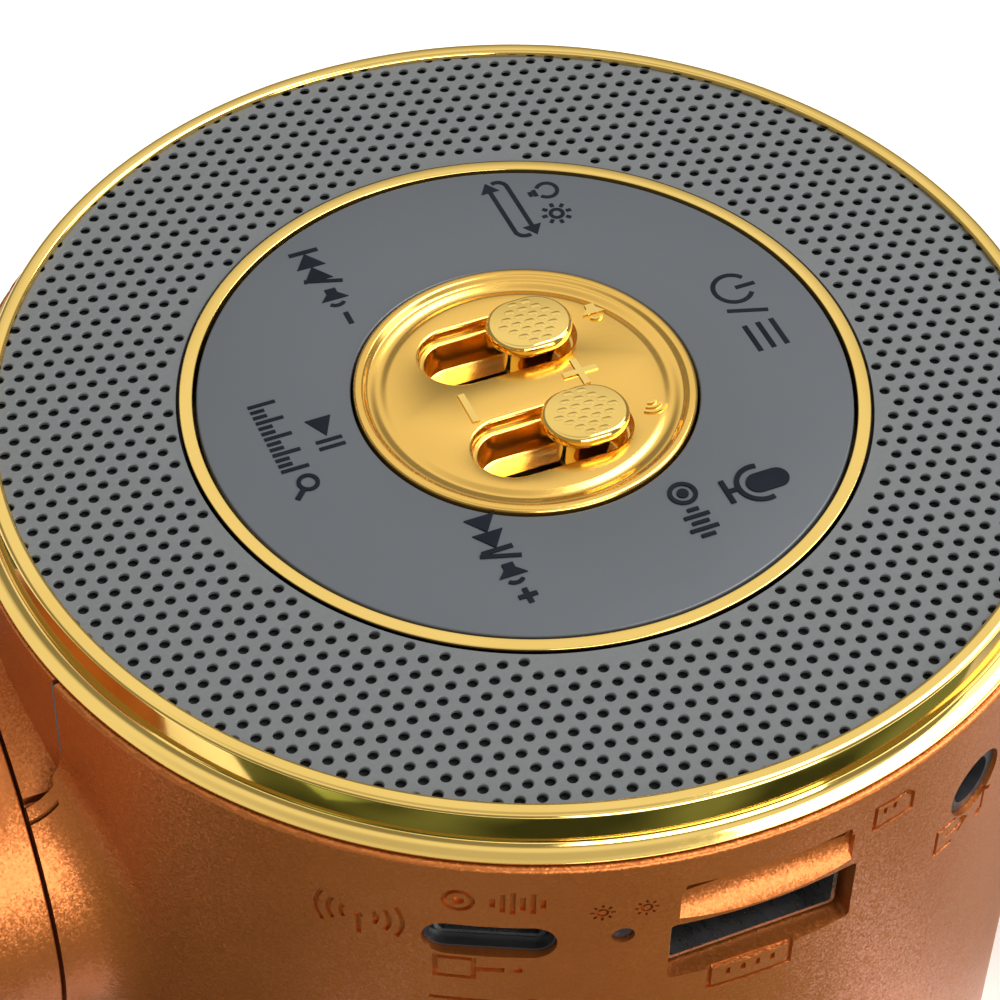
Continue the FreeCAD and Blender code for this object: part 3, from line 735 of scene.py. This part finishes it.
def strip_lines():
    """Cutters for the fine lines beside the strip over the handle: down the wall, then out over the neck."""
    shells = []
    for side in (1, -1):
        for y, wide, x1, low, high in ((11.3, 0.3, -39.4, 59.0, WALL_HIGH.z + 1),
                                       (11.55, 0.4, -41.2, 58.5, 64.0), (12.5, 0.22, -41.2, 57.5, 64.0)):
            shell = Shell()
            shell.block(-46, x1, side * y - wide / 2, side * y + wide / 2, low, high)
            shells.append(shell)
    return shells


def drum_wall():
    """The copper housing as the CAD has it, with the port signs pressed into its wall."""
    source = frame["nodes"]["drum_housing"].data
    mesh = source.copy()
    mesh.materials.clear()
    mesh.name = "drum_wall"
    wall = show("drum_wall", weld(mesh), "housing", "copper_paint", ("drum_housing",), crease=0)
    group = bpy.data.collections.new("cutters")
    for k, shell in enumerate(drum_marks()):
        group.objects.link(linked(f"cutter_{k}", tidy_mesh(f"cutter_{k}", shell)))
    cut = wall.modifiers.new("marks", "BOOLEAN")
    cut.operation = "DIFFERENCE"
    cut.solver = "EXACT"
    cut.operand_type = "COLLECTION"
    cut.collection = group
    cut.use_self = True
    bpy.context.view_layer.update()
    done = bpy.data.meshes.new_from_object(wall.evaluated_get(bpy.context.evaluated_depsgraph_get()))
    wall.modifiers.clear()
    wall.data = done
    for cutter in list(group.objects):
        bpy.data.objects.remove(cutter)
    bpy.data.collections.remove(group)
    take_normals(done, source)


def take_normals(mesh, source):
    """Gives a cut mesh the normals that its untouched surface has in the source."""
    if "custom_normal" in mesh.attributes:
        mesh.attributes.remove(mesh.attributes["custom_normal"])
    mesh.shade_smooth()
    mesh.set_sharp_from_angle(angle=math.radians(SMOOTH_ANGLE))
    tree = BVHTree.FromPolygons([v.co for v in source.vertices], [p.vertices[:] for p in source.polygons])
    own = [Vector(n.vector) for n in mesh.corner_normals]
    given = [Vector(n.vector) for n in source.corner_normals]
    near = 0.004 * MM
    for face in mesh.polygons:
        _, _, index, distance = tree.find_nearest(face.center)
        if distance > near:
            continue
        origin = source.polygons[index]
        if origin.normal.dot(face.normal) < 0.99:
            continue
        corner_co = [source.vertices[v].co for v in origin.vertices]
        corner_normal = [given[k] for k in origin.loop_indices]
        for loop in face.loop_indices:
            point = mesh.vertices[mesh.loops[loop].vertex_index].co
            own[loop] = blended(point, corner_co, corner_normal, origin.normal)
    mesh.normals_split_custom_set(own)


def blended(point, corner_co, corner_normal, flat):
    """A source face's normal at a point, from its corners' normals."""
    axis = max(range(3), key=lambda k: abs(flat[k]))
    u, v = [k for k in range(3) if k != axis]
    a, b, c = corner_co[:3]
    area = (b[u] - a[u]) * (c[v] - a[v]) - (c[u] - a[u]) * (b[v] - a[v])
    if len(corner_co) > 3 or abs(area) < 1e-16:
        weights = [1 / ((point - co).length_squared + 1e-14) for co in corner_co]
    else:
        wb = ((point[u] - a[u]) * (c[v] - a[v]) - (c[u] - a[u]) * (point[v] - a[v])) / area
        wc = ((b[u] - a[u]) * (point[v] - a[v]) - (point[u] - a[u]) * (b[v] - a[v])) / area
        weights = [min(max(w, 0), 1) for w in (1 - wb - wc, wb, wc)]
    total = sum((n * w for n, w in zip(corner_normal, weights)), Vector((0, 0, 0)))
    return total.normalized() if total.length > 1e-9 else flat.copy()


def port_liners():
    """Black plastic inside the micro socket's slot and around the jack, a little behind the wall's face."""
    def lined(azimuth, z, outer_loop, inner_loop, r0, r1):
        shell = Shell()
        a = math.radians(azimuth)
        out, across = Vector((math.cos(a), math.sin(a), 0)), Vector((-math.sin(a), math.cos(a), 0))
        loops = []
        for r, outline in ((r0, outer_loop), (r1, outer_loop), (r1, inner_loop), (r0, inner_loop)):
            loops.append(shell.loop([out * r + across * u + Vector((0, 0, z + v)) for u, v, _ in outline]))
        shell.bands(loops + loops[:1])
        return shell

    slot = lined(-116.6, 64.6, stadium(9.1, 3.3, 0), stadium(8.7, 2.9, 0), 40.0, 41.2)
    show_shell("slot_liner", slot, "housing", "black_plastic")
    jack = lined(-63.6, 63.8, circle(2.75, 0, 48), circle(1.9, 0, 48), 40.65, 41.45)
    show_shell("jack_collar", jack, "housing", "black_plastic")


def painted_seam_highlights():
    """A grey strip in the groove on each side of the strip over the handle, just under the wall's face: the
    groove is the real joint, and its grey is a painted highlight for the light caught on the joint's edge.
    """
    shell = Shell()
    for side in (1, -1):
        shell.block(-40.32, -39.3, side * 10.98, side * 11.32, 60.6, WALL_HIGH.z - 0.5)
    # The matt grey here is painted highlight: it stands in for light caught on the parting line's edge, not
    # for a grey part.
    show_shell("painted_seam_highlights", shell, "housing", "grille_grey")


def rim_section():
    """Bead, upright mirror band and flared foot, from the inside round to the inside."""
    inner_r, skirt_r, wall_r = 38.75, 39.62, DRUM_R - 2.1
    sheet_z = SHEET_HIGH.z
    band_r, band_foot, lip_z = 40.2, RIM_FOOT + 1.05, RIM_FOOT + 0.14
    flare = []
    for degrees in range(0, 90, 9):
        a = math.radians(degrees)
        flare.append((RIM_R - (RIM_R - band_r) * math.cos(a), band_foot - (band_foot - lip_z) * math.sin(a)))
    return rounded([
        (inner_r, sheet_z + 0.02), (inner_r, RIM_TOP, 0.32), (39.95, RIM_TOP, 0.38), *flare,
        (RIM_R, lip_z, 0.05), (RIM_R, RIM_FOOT, 0.04), (wall_r, RIM_FOOT), (wall_r, RIM_BOTTOM),
        (skirt_r, RIM_BOTTOM), (skirt_r, sheet_z + 0.02),
    ])


def lattice_spots(r_in, r_out):
    """Hole centres of the hexagonal lattice that lie wholly between two radii."""
    spots = []
    reach = int(2 * r_out / HOLE_PITCH)
    for i in range(-reach, reach + 1):
        for j in range(-reach, reach + 1):
            spot = Vector((HOLE_PITCH * (i + j / 2), HOLE_PITCH * j * math.sqrt(3) / 2))
            if r_in + HOLE_R + 0.07 < spot.length < r_out - HOLE_R - 0.12:
                spots.append(Matrix.Rotation(LATTICE_TURN, 2) @ spot)
    return spots


def perforated(r_in, sides):
    """A face's flat sheet with a lattice of round holes, each with an eased edge on the side that shows."""
    ease = 0.07
    top, low = SHEET_HIGH.z, SHEET_HIGH.z - SHEET_T
    shell = Shell()
    top_holes, low_holes = [], []
    for spot in lattice_spots(r_in, SHEET_OUT_R):
        loops = [shell.loop(circle(HOLE_R + ease, top, sides, *spot)),
                 shell.loop(circle(HOLE_R, top - ease, sides, *spot)),
                 shell.loop(circle(HOLE_R, low, sides, *spot))]
        shell.bands(loops)
        top_holes.append(loops[0])
        low_holes.append(loops[2])
    outer = [shell.loop(circle(SHEET_OUT_R, z)) for z in (top, low)]
    inner = [shell.loop(circle(r_in, z)) for z in (top, low)]
    shell.bands(outer)
    shell.bands(inner)
    shell.level(outer[0], [inner[0]] + top_holes)
    shell.level(outer[1], [inner[1]] + low_holes)
    return shell


def cloth(r_in):
    """The black dust cloth behind a perforated sheet."""
    r_out = SHEET_HIGH.y - 0.05
    low, high = SHEET_LOW.z + 0.02, SHEET_LOW.z + 0.2
    return turned([(r_in, low), (r_in, high), (r_out, high), (r_out, low)])


def show_ring(name, shell, node, body="housing"):
    """A bright gold ring in place of a node."""
    show_shell(name, shell, body, "gold_plate", (node,), 50)


def drum_faces():
    """Rims and perforated sheets of the front and the back."""
    show_ring("front_rim_gold", turned(rim_section()), "front_rim")
    show_ring("back_rim_gold", upside_down(turned(rim_section())), "back_rim")
    front = perforated(TRIM_OUT_R + 0.25, 14)
    show_shell("front_grille_sheet", front, "housing", "grille_grey", ("front_grille",))
    plate_r = corners("back_centre_plate")[1].x
    back = perforated(plate_r - 0.35, 12)
    show_shell("back_grille_sheet", upside_down(back), "housing", "grille_grey", ("back_grille",))
    show_shell("front_cloth", cloth(TRIM_OUT_R + 0.05), "housing", "cone_black")
    show_shell("back_cloth", upside_down(cloth(plate_r + 0.05)), "housing", "cone_black")
    z = corners("back_centre_plate")[0].z
    disc = turned(rounded([
        (0, z + 0.1), (plate_r - 1.6, z + 0.1), (plate_r - 1.3, z, 0.1), (plate_r, z, 0.35),
        (plate_r, z + 0.48), (plate_r - 0.45, z + 0.48), (plate_r - 0.45, z + 2.2), (plate_r - 1.2, z + 2.2),
        (plate_r - 1.2, z + 1.4), (0, z + 1.4)]))
    show_shell("back_disc", disc, "housing", "satin_gold", ("back_centre_plate",))


# ---- control face ----

def control_ring():
    ring_in = PLATE_HIGH.x + 0.2
    shell = turned(rounded([(ring_in, FACE_Z, 0.14), (RING_OUT_R, FACE_Z, 0.16), (RING_OUT_R, FACE_Z - 3.0),
                            (RING_OUT_R - 1.0, FACE_Z - 3.0), (RING_OUT_R - 1.0, FACE_Z - 1.6),
                            (ring_in, FACE_Z - 1.6)]))
    post_r, post_ring_r = 1.2, 18.5
    post_foot = corners("control_ring")[0].z
    for k in range(6):
        a = math.radians(60 * k)
        x, y = post_ring_r * math.cos(a), post_ring_r * math.sin(a)
        shell.prism([shell.loop(circle(post_r, z, 32, x, y)) for z in (FACE_Z - 1.5, post_foot)])
    show_shell("key_ring_gloss", shell, "key_ring", "key_grey", ("control_ring",))


def key_signs():
    """Printed signs on the ring, upright towards the head."""
    def place(u, v, h):
        return Vector((v, -u, FACE_Z + h))

    pen = Pen(place, ICON_RAISE, -0.04)
    line = 0.38
    for draw, u, v, size, share, *values in (
            (power_sign, -3.9, 18.9, 3.0, 1.0), (slash, -1.3, 18.9, 3.0, 1.0),
            (list_sign, 1.6, 19.0, 2.9, 1.1), (bulb_sign, -19.6, 10.1, 2.3, 0.85),
            (light_sign, -16.8, 10.0, 2.4, 0.8),
            (repeat_sign, -18.6, 6.9, 1.0, 0.9, 2.55, 0.75, 0.75),
            (skip_sign, -18.6, -9.9, 2.9, 1.0, -1), (slash, -16.4, -9.6, 2.8, 0.9),
            (speaker_sign, -14.4, -9.5, 2.4, 0.8), (minus, -11.9, -9.3, 1.3, 1.0),
            (wedge, -1.9, -15.3, (1.9, 2.0), 1.0), (pause_sign, -0.15, -15.3, (0.7, 2.0), 0.8),
            (dial_sign, -2.2, -18.6, (7.0, 2.1), 0.75, 13), (search_sign, 3.2, -18.5, 2.3, 0.8),
            (skip_sign, 12.7, -8.3, 2.9, 1.0, 1), (slash, 14.7, -8.3, 2.8, 0.9),
            (speaker_sign, 16.5, -8.2, 2.4, 0.8), (plus, 18.8, -8.0, 1.4, 1.0),
            (singer_sign, 15.2, 11.6, 4.6, 1.0), (record_sign, 14.1, 6.1, 2.2, 0.85),
            (sound_sign, 17.1, 6.1, (2.6, 2.2), 0.8, 0.4, 0.9, 0.6, 1.0, 0.5)):
        pen.sign(draw, u, v, size, line * share, *values)
    show_shell("key_signs", pen.shell, "key_ring", "chip_black")


def trim_ring():
    inner_r = RING_OUT_R + 0.27
    foot = corners("inner_trim_ring")[0].z
    sheet_z = SHEET_HIGH.z
    show_ring("inner_trim_gold", turned(rounded([
        (inner_r, TRIM_TOP, 0.08), (TRIM_OUT_R, TRIM_TOP, 0.08), (TRIM_OUT_R, sheet_z + 0.01),
        (TRIM_OUT_R - 0.32, sheet_z + 0.01), (TRIM_OUT_R - 0.32, foot), (inner_r, foot)])),
        "inner_trim_ring")


FIELD_Z = 75.5          # the gold plate's flat middle
WELL_L, WELL_W, WELL_X = 12.2, 5.9, -0.1
SLIT_L, SLIT_W, SLIT_X = 9.0, 1.2, -0.3
WELL_Y = (5.1, -5.1)


def centre_plate():
    """Gold disc with a lip, a groove, two stepped wells and a slit in each well's floor."""
    floor_z, under_z = 71.9, 71.1
    plate_r = PLATE_HIGH.x
    foot = PLATE_LOW.z
    shell = Shell()
    steps = [k / 16 for k in range(17)]
    groove = [Vector((10.1 + 1.5 * t, FIELD_Z - 0.085 * (1 - math.cos(2 * math.pi * t)))) for t in steps]
    rise = (PLATE_HIGH.z - FIELD_Z) / 2
    lip = [Vector((11.6 + 0.55 * t, FIELD_Z + rise * (1 - math.cos(math.pi * t)))) for t in steps[1:]]
    lip += rounded([(12.2, PLATE_HIGH.z), (plate_r, PLATE_HIGH.z, 0.25), (plate_r, foot)])[1:]
    outline = groove + lip + [Vector((plate_r - 1.0, foot)), Vector((plate_r - 1.0, under_z))]
    rings = [shell.loop(circle(r, z)) for r, z in outline]
    shell.bands(rings)
    ledge_z = FIELD_Z - 0.95
    well_steps = [(0.22, FIELD_Z), (0.13, FIELD_Z - 0.03), (0.05, FIELD_Z - 0.1), (0.0, FIELD_Z - 0.22),
                  (0.0, ledge_z + 0.1), (-0.1, ledge_z), (-0.36, ledge_z), (-0.43, ledge_z - 0.05),
                  (-0.46, ledge_z - 0.14), (-0.52, floor_z + 0.35), (-0.62, floor_z + 0.1), (-0.85, floor_z)]
    field_holes, slit_holes = [], []
    for y in WELL_Y:
        loops = [shell.loop(stadium(WELL_L, WELL_W, z, WELL_X, y, grow)) for grow, z in well_steps]
        shell.bands(loops)
        slit = [shell.loop(stadium(SLIT_L, SLIT_W, z, SLIT_X, y)) for z in (floor_z, under_z)]
        shell.bands(slit)
        shell.level(loops[-1], [slit[0]])
        field_holes.append(loops[0])
        slit_holes.append(slit[1])
    shell.level(rings[0], field_holes)
    shell.level(rings[-1], slit_holes)
    show_shell("centre_plate_gold", shell, "housing", "satin_gold", ("centre_plate",), 40)


def plate_signs():
    """Raised signs on the gold plate: plus, minus, and one sign beside each slide."""
    def place(u, v, h):
        return Vector((v, -u, FIELD_Z + h))

    pen = Pen(place, 0.16, -0.1, 1.25)
    pen.sign(plus, -0.1, 4.45, 2.7, 0.5)
    pen.sign(minus, 0.35, -4.7, 3.0, 0.5)
    pen.sign(speaker_sign, -5.6, 8.0, 2.0, 0.2)
    pen.sign(waves_sign, 4.4, 8.0, 1.0, 0.2)
    show_shell("plate_signs", pen.shell, "housing", "gold_plate")


def knob(name, body, node):
    """A thumb cap with small raised dashes on a waisted stem."""
    low, high = corners(node)
    x, y = (low.x + high.x) / 2, (low.y + high.y) / 2
    length, width = high.x - low.x, high.y - low.y
    top, foot = high.z, low.z
    shell = Shell()
    side = [(-0.34, top - 0.05), (-0.28, top - 0.055), (-0.2, top - 0.1), (-0.08, top - 0.22),
            (-0.02, top - 0.34), (0.0, top - 0.48), (0.0, top - 0.8), (-0.05, top - 0.98), (-0.2, top - 1.14),
            (-0.5, top - 1.25)]
    waist = [(-0.5 - 0.8 * math.sin(math.radians(a)), top - 1.25 - 2.0 * (1 - math.cos(math.radians(a))))
             for a in range(15, 91, 15)]
    skirt = [(-1.3, top - 3.9), (-1.4, foot + 0.3), (-1.45, foot)]
    shell.prism([shell.loop(stadium(length, width, z, x, y, grow)) for grow, z in side + waist + skirt])
    show_shell(name, shell, body, "gold_plate", (node,), 40)
    grip(name + "_grip", body, x, y, top - 0.05, length, width)


def grip(name, body, x, y, z, length, width):
    """Rows of low raised dashes on a knob, inside its rim."""
    shell = Shell()
    dash_l, dash_w, row_pitch, dash_pitch = 0.74, 0.42, 0.68, 1.06
    dash_steps = ((0.05, z - 0.04), (0.0, z + 0.015), (-0.08, z + 0.03))
    straight = (length - width) / 2
    limit = width / 2 - 0.42
    for row in range(-4, 5):
        for k in range(-4, 5):
            u = (k + (row % 2) / 2) * dash_pitch
            v = row * row_pitch
            beyond = max(abs(u) + dash_l / 2 - straight, 0)
            if math.hypot(beyond, abs(v) + dash_w / 2) <= limit:
                shell.prism([shell.loop(stadium(dash_l, dash_w, level, x + u, y + v, grow, 6))
                             for grow, level in dash_steps])
    show_shell(name, shell, body, "gold_plate")


# ---- handle and head ----

def bead_ring(x0, x1, bore, r, drop, ease, crown):
    """A ring about the long axis whose outside rises to a rounded crown."""
    return spun(rounded([(x0, bore), (x0, r - drop, ease), ((x0 + x1) / 2, r, crown), (x1, r - drop, ease),
                         (x1, bore)]))


def handle():
    seam_x = TUBE_HIGH.x
    end_x = TUBE_LOW.x
    end_r = FOOT_RING_HIGH.y - 0.5
    seam_r = TUBE_HIGH.y
    wall = 2.0
    outside = through((seam_x, seam_r), (-88.0, 16.4), (end_x, end_r), 28)
    section = [(*outside[0], 0.15), *outside[1:-1], (*outside[-1], 0.12), (end_x, end_r - wall)]
    section += [(p.x, p.y - wall) for p in reversed(outside[1:-1])] + [(seam_x, seam_r - wall)]
    show_shell("handle_shell", spun(rounded(section, 4)), "housing", "copper_paint", ("handle_tube",))
    r = FOOT_RING_HIGH.y
    x0, x1 = FOOT_RING_LOW.x, FOOT_RING_HIGH.x
    show_ring("handle_foot_ring", bead_ring(x1, x0, r - 2.7, r, 0.2, 0.15, 1.0), "handle_trim_ring")
    cap_r = CAP_HIGH.y
    lip_x = x0 - 0.05
    low_x = CAP_LOW.x
    dome = through((lip_x - 0.25, cap_r), (lip_x - 3.1, cap_r - 1.3), (low_x + 0.25, cap_r - 5.4), 16)
    section = [(lip_x, cap_r - 2.2), (lip_x, cap_r, 0.15), *dome[1:], (low_x, cap_r - 6.6, 0.6), (low_x, 0),
               (lip_x, 0), (lip_x, cap_r - 4.0), (CAP_HIGH.x, cap_r - 4.0), (CAP_HIGH.x, cap_r - 2.2)]
    show_shell("handle_foot", spun(rounded(section, 4)), "housing", "copper_paint", ("handle_end_cap",))


def collar_and_rings():
    x0, x1 = COLLAR_RING_LOW.x, COLLAR_RING_HIGH.x
    r = COLLAR_RING_HIGH.y
    bore = 15.05
    show_ring("collar_gold_ring", bead_ring(x0, x1, bore, r, 0.45, 0.2, 0.9), "collar_trim_ring")
    x0, x1 = THREAD_LOW.x, THREAD_HIGH.x
    r = THREAD_HIGH.y
    groove = 0.22
    section = [(x0, bore), (x0, r - 1.2, 0.2)]
    for k in range(3):
        x = x0 + 1.2 + 1.1 * k
        outer = r - 1.0 + 0.12 * k
        section += [(x, outer, 0.08), (x + 0.18, outer - groove, 0.06), (x + 0.36, outer - groove, 0.06),
                    (x + 0.54, outer, 0.08)]
    section += [(x1 - 0.9, r - 0.25, 0.4), (x1, r, 0.15), (x1, bore)]
    show_ring("head_foot_ring", spun(rounded(section, 4)), "head_thread_ring", "ball_head")
    x0, x1 = BAND_LOW.x, BAND_HIGH.x
    r = BAND_HIGH.y
    inner = BALL_R - 2.2
    band = rounded([(x0, inner), (x0, r - 0.7, 0.2), (x0 + 0.75, r, 0.45), (x1 - 0.75, r, 0.45),
                    (x1, r - 0.7, 0.2), (x1, inner)])
    show_ring("head_gold_band", spun(band), "head_band", "ball_head")


def wire(shell, path, sides=5):
    """A round wire along a path of (direction from the head's middle, height above the weave's middle)."""
    points = [Vector((BALL_X, 0, AXIS_Z)) + normal * (WEAVE_R + lift) for normal, lift in path]
    loops = []
    for k, point in enumerate(points):
        along = (points[min(k + 1, len(points) - 1)] - points[max(k - 1, 0)]).normalized()
        across = along.cross(path[k][0]).normalized()
        out = across.cross(along)
        loops.append(shell.loop([point + (across * math.cos(a) + out * math.sin(a)) * WIRE_R
                                 for a in (2 * math.pi * i / sides for i in range(sides))]))
    shell.prism(loops)


def dome_mesh():
    """Woven wire of the dome: a square grid laid over the ball from its top."""
    shell = Shell()
    rim = math.acos((DOME_LOW.x - BALL_X) / WEAVE_R) * WEAVE_R
    count = int(rim / WIRE_PITCH)
    half_step = WIRE_PITCH / 2
    for family in (0, 1):
        for k in range(-count, count + 1):
            p = k * WIRE_PITCH
            reach = math.sqrt(max(rim * rim - p * p, 0))
            steps = int(reach / half_step)
            if steps < 2:
                continue
            path = []
            for i in range(-steps, steps + 1):
                q = i * half_step
                y, z = (p, q) if family else (q, p)
                arc = math.hypot(y, z)
                turn = arc / WEAVE_R
                side = math.sin(turn) / arc if arc else 0
                lift = WIRE_R * math.cos(math.pi * (q / WIRE_PITCH + k + family))
                path.append((Vector((math.cos(turn), y * side, z * side)), lift))
            wire(shell, path)
    show_shell("dome_wire_mesh", shell, "ball_head", "mesh_gold", ("upper_mesh",), 60)


def bowl_mesh():
    """Woven wire of the bowl: two families of slanting wires between the foot ring and the band."""
    shell = Shell()
    low = math.asin((BOWL_LOW.x - BALL_X + 0.2) / WEAVE_R)
    high = math.asin((BOWL_HIGH.x - BALL_X) / WEAVE_R)
    mid_r = WEAVE_R * math.cos((low + high) / 2)
    count = 2 * round(math.pi * mid_r / (WIRE_PITCH * math.sqrt(2)))
    crossings = 22
    slant = math.pi / count
    for family in (1, -1):
        for k in range(count):
            path = []
            for i in range(2 * crossings + 1):
                tilt = low + (high - low) * i / (2 * crossings)
                turn = 2 * math.pi * k / count + family * slant * i / 2
                level = math.cos(tilt)
                lift = family * WIRE_R * math.cos(math.pi * (i / 2 + k))
                path.append((Vector((math.sin(tilt), level * math.cos(turn), level * math.sin(turn))), lift))
            wire(shell, path)
    show_shell("bowl_wire_mesh", shell, "ball_head", "mesh_gold", ("lower_mesh",), 60)


def windscreen():
    """Foam liner just under the wire mesh."""
    x0, x1 = FOAM_LOW.x, FOAM_HIGH.x
    r = x1 - BALL_X
    section = [(x0, 17.5), (x0 + 2.5, 19.6)]
    for degrees in range(-10, 90, 5):
        a = math.radians(degrees)
        section.append((BALL_X + r * math.sin(a), r * math.cos(a)))
    section += [(x1, 0), (x1 - 4, 0), (BALL_X + 14.2, 14.2), (BALL_X, 16.0), (x0, 14.0)]
    foam = show_shell("foam_windscreen", spun(section), "ball_head", "foam_black", ("head_foam",))


# ---- the rest of the CAD nodes keep their shape ----

def dress_nodes():
    """Gives every CAD node the look of its own material slot."""
    for node in frame["nodes"].values():
        for slot in node.material_slots:
            slot.material = LOOKS[slot.material.name.split(".")[0]]


# ---- stage ----

def sheet(name, points, look):
    """A flat card of the stage, with its corners in millimetres."""
    mesh = bpy.data.meshes.new(name)
    mesh.from_pydata([Vector(p) * MM for p in points], [], [(0, 1, 2, 3)])
    mesh.materials.append(look)
    card = linked(name, mesh)
    return card


def floor():
    half = 2500
    sheet("floor", [(-half, -half, 0), (half, -half, 0), (half, half, 0), (-half, half, 0)], floor_white())


def flag(name, x, y, z, wide, deep, look):
    """A level card that only reflections see."""
    card = sheet(name, [(x, y, z), (x + wide, y, z), (x + wide, y + deep, z), (x, y + deep, z)], look)
    card.visible_camera = False
    card.visible_diffuse = False
    card.visible_shadow = False
    card.visible_transmission = False


def softbox(name, place, target, wide, high, watts):
    lamp = bpy.data.lights.new(name, "AREA")
    lamp.shape = "RECTANGLE"
    lamp.size = wide
    lamp.size_y = high
    lamp.energy = watts
    box = linked(name, lamp)
    box.location = place
    box.rotation_euler = (Vector(target) - Vector(place)).to_track_quat("-Z", "Y").to_euler()


def sky():
    """A pale studio, darker near the floor and overhead."""
    world = bpy.data.worlds.new("studio")
    bpy.context.scene.world = world
    world.use_nodes = True
    nodes, links = world.node_tree.nodes, world.node_tree.links
    place = nodes.new("ShaderNodeTexCoord")
    split = nodes.new("ShaderNodeSeparateXYZ")
    ramp = nodes.new("ShaderNodeValToRGB")
    stops = ramp.color_ramp.elements
    stops[0].position = 0.5
    stops[0].color = (0.3, 0.3, 0.29, 1)
    stops[1].position = 0.7
    stops[1].color = (1.0, 1.0, 1.0, 1)
    stops.new(0.86).color = (1.0, 1.0, 1.0, 1)
    stops.new(0.97).color = (0.65, 0.65, 0.65, 1)
    links.new(place.outputs["Generated"], split.inputs["Vector"])
    links.new(split.outputs["Z"], ramp.inputs["Fac"])
    links.new(ramp.outputs["Color"], nodes["Background"].inputs["Color"])
    nodes["Background"].inputs["Strength"].default_value = 1.0


def camera():
    """Looks at the control face from above the ports, a little rolled."""
    target = Vector((-6.178, -9.611, 75.5)) * MM
    distance = 0.227533
    heading, height, roll = math.radians(24.383), math.radians(46.668), math.radians(-1.512)
    level = math.cos(height)
    forward = Vector((math.sin(heading) * level, math.cos(heading) * level, -math.sin(height)))
    across = forward.cross(Vector((0, 0, 1))).normalized()
    down = forward.cross(across)
    right = across * math.cos(roll) + down * math.sin(roll)
    up = right.cross(forward)
    data = bpy.data.cameras.new("camera")
    data.sensor_width = 36
    data.lens = 114.9345
    data.clip_start = 0.01
    data.clip_end = 20
    eye = linked("camera", data)
    turn = Matrix((right, up, -forward)).transposed().to_4x4()
    eye.matrix_world = Matrix.Translation(target - forward * distance) @ turn
    bpy.context.scene.camera = eye


def studio():
    floor()
    dark = flag_look((0.08, 0.10, 0.05))
    grey = flag_look((0.3, 0.3, 0.28))
    green = flag_look((0.34, 0.46, 0.22))
    flag("flag_front", -330, -330, 1, 360, 284, dark)
    flag("flag_right", 30, -330, 1, 170, 268, dark)
    flag("flag_side", 46, -62, 1, 160, 130, grey)
    flag("flag_left", -112, -46, 1, 66, 126, dark)
    flag("flag_leaf", -155, -118, 2, 43, 40, green)
    softbox("key", (0.45, -0.05, 0.75), (0, 0, 0.06), 0.6, 0.5, 7)
    softbox("front", (0.1, -0.85, 0.2), (-0.02, 0, 0.05), 0.7, 0.5, 7)
    softbox("fill_right", (0.7, -0.25, 0.4), (0, 0, 0.05), 0.35, 0.6, 1.5)
    sky()
    bpy.context.scene.view_settings.view_transform = "Standard"
    camera()


dress_nodes()
drum_wall()
port_liners()
painted_seam_highlights()
drum_faces()
control_ring()
key_signs()
trim_ring()
centre_plate()
plate_signs()
knob("volume_thumb", "volume_control", "volume_knob")
knob("echo_thumb", "echo_control", "echo_knob")
handle()
collar_and_rings()
dome_mesh()
bowl_mesh()
windscreen()
studio()
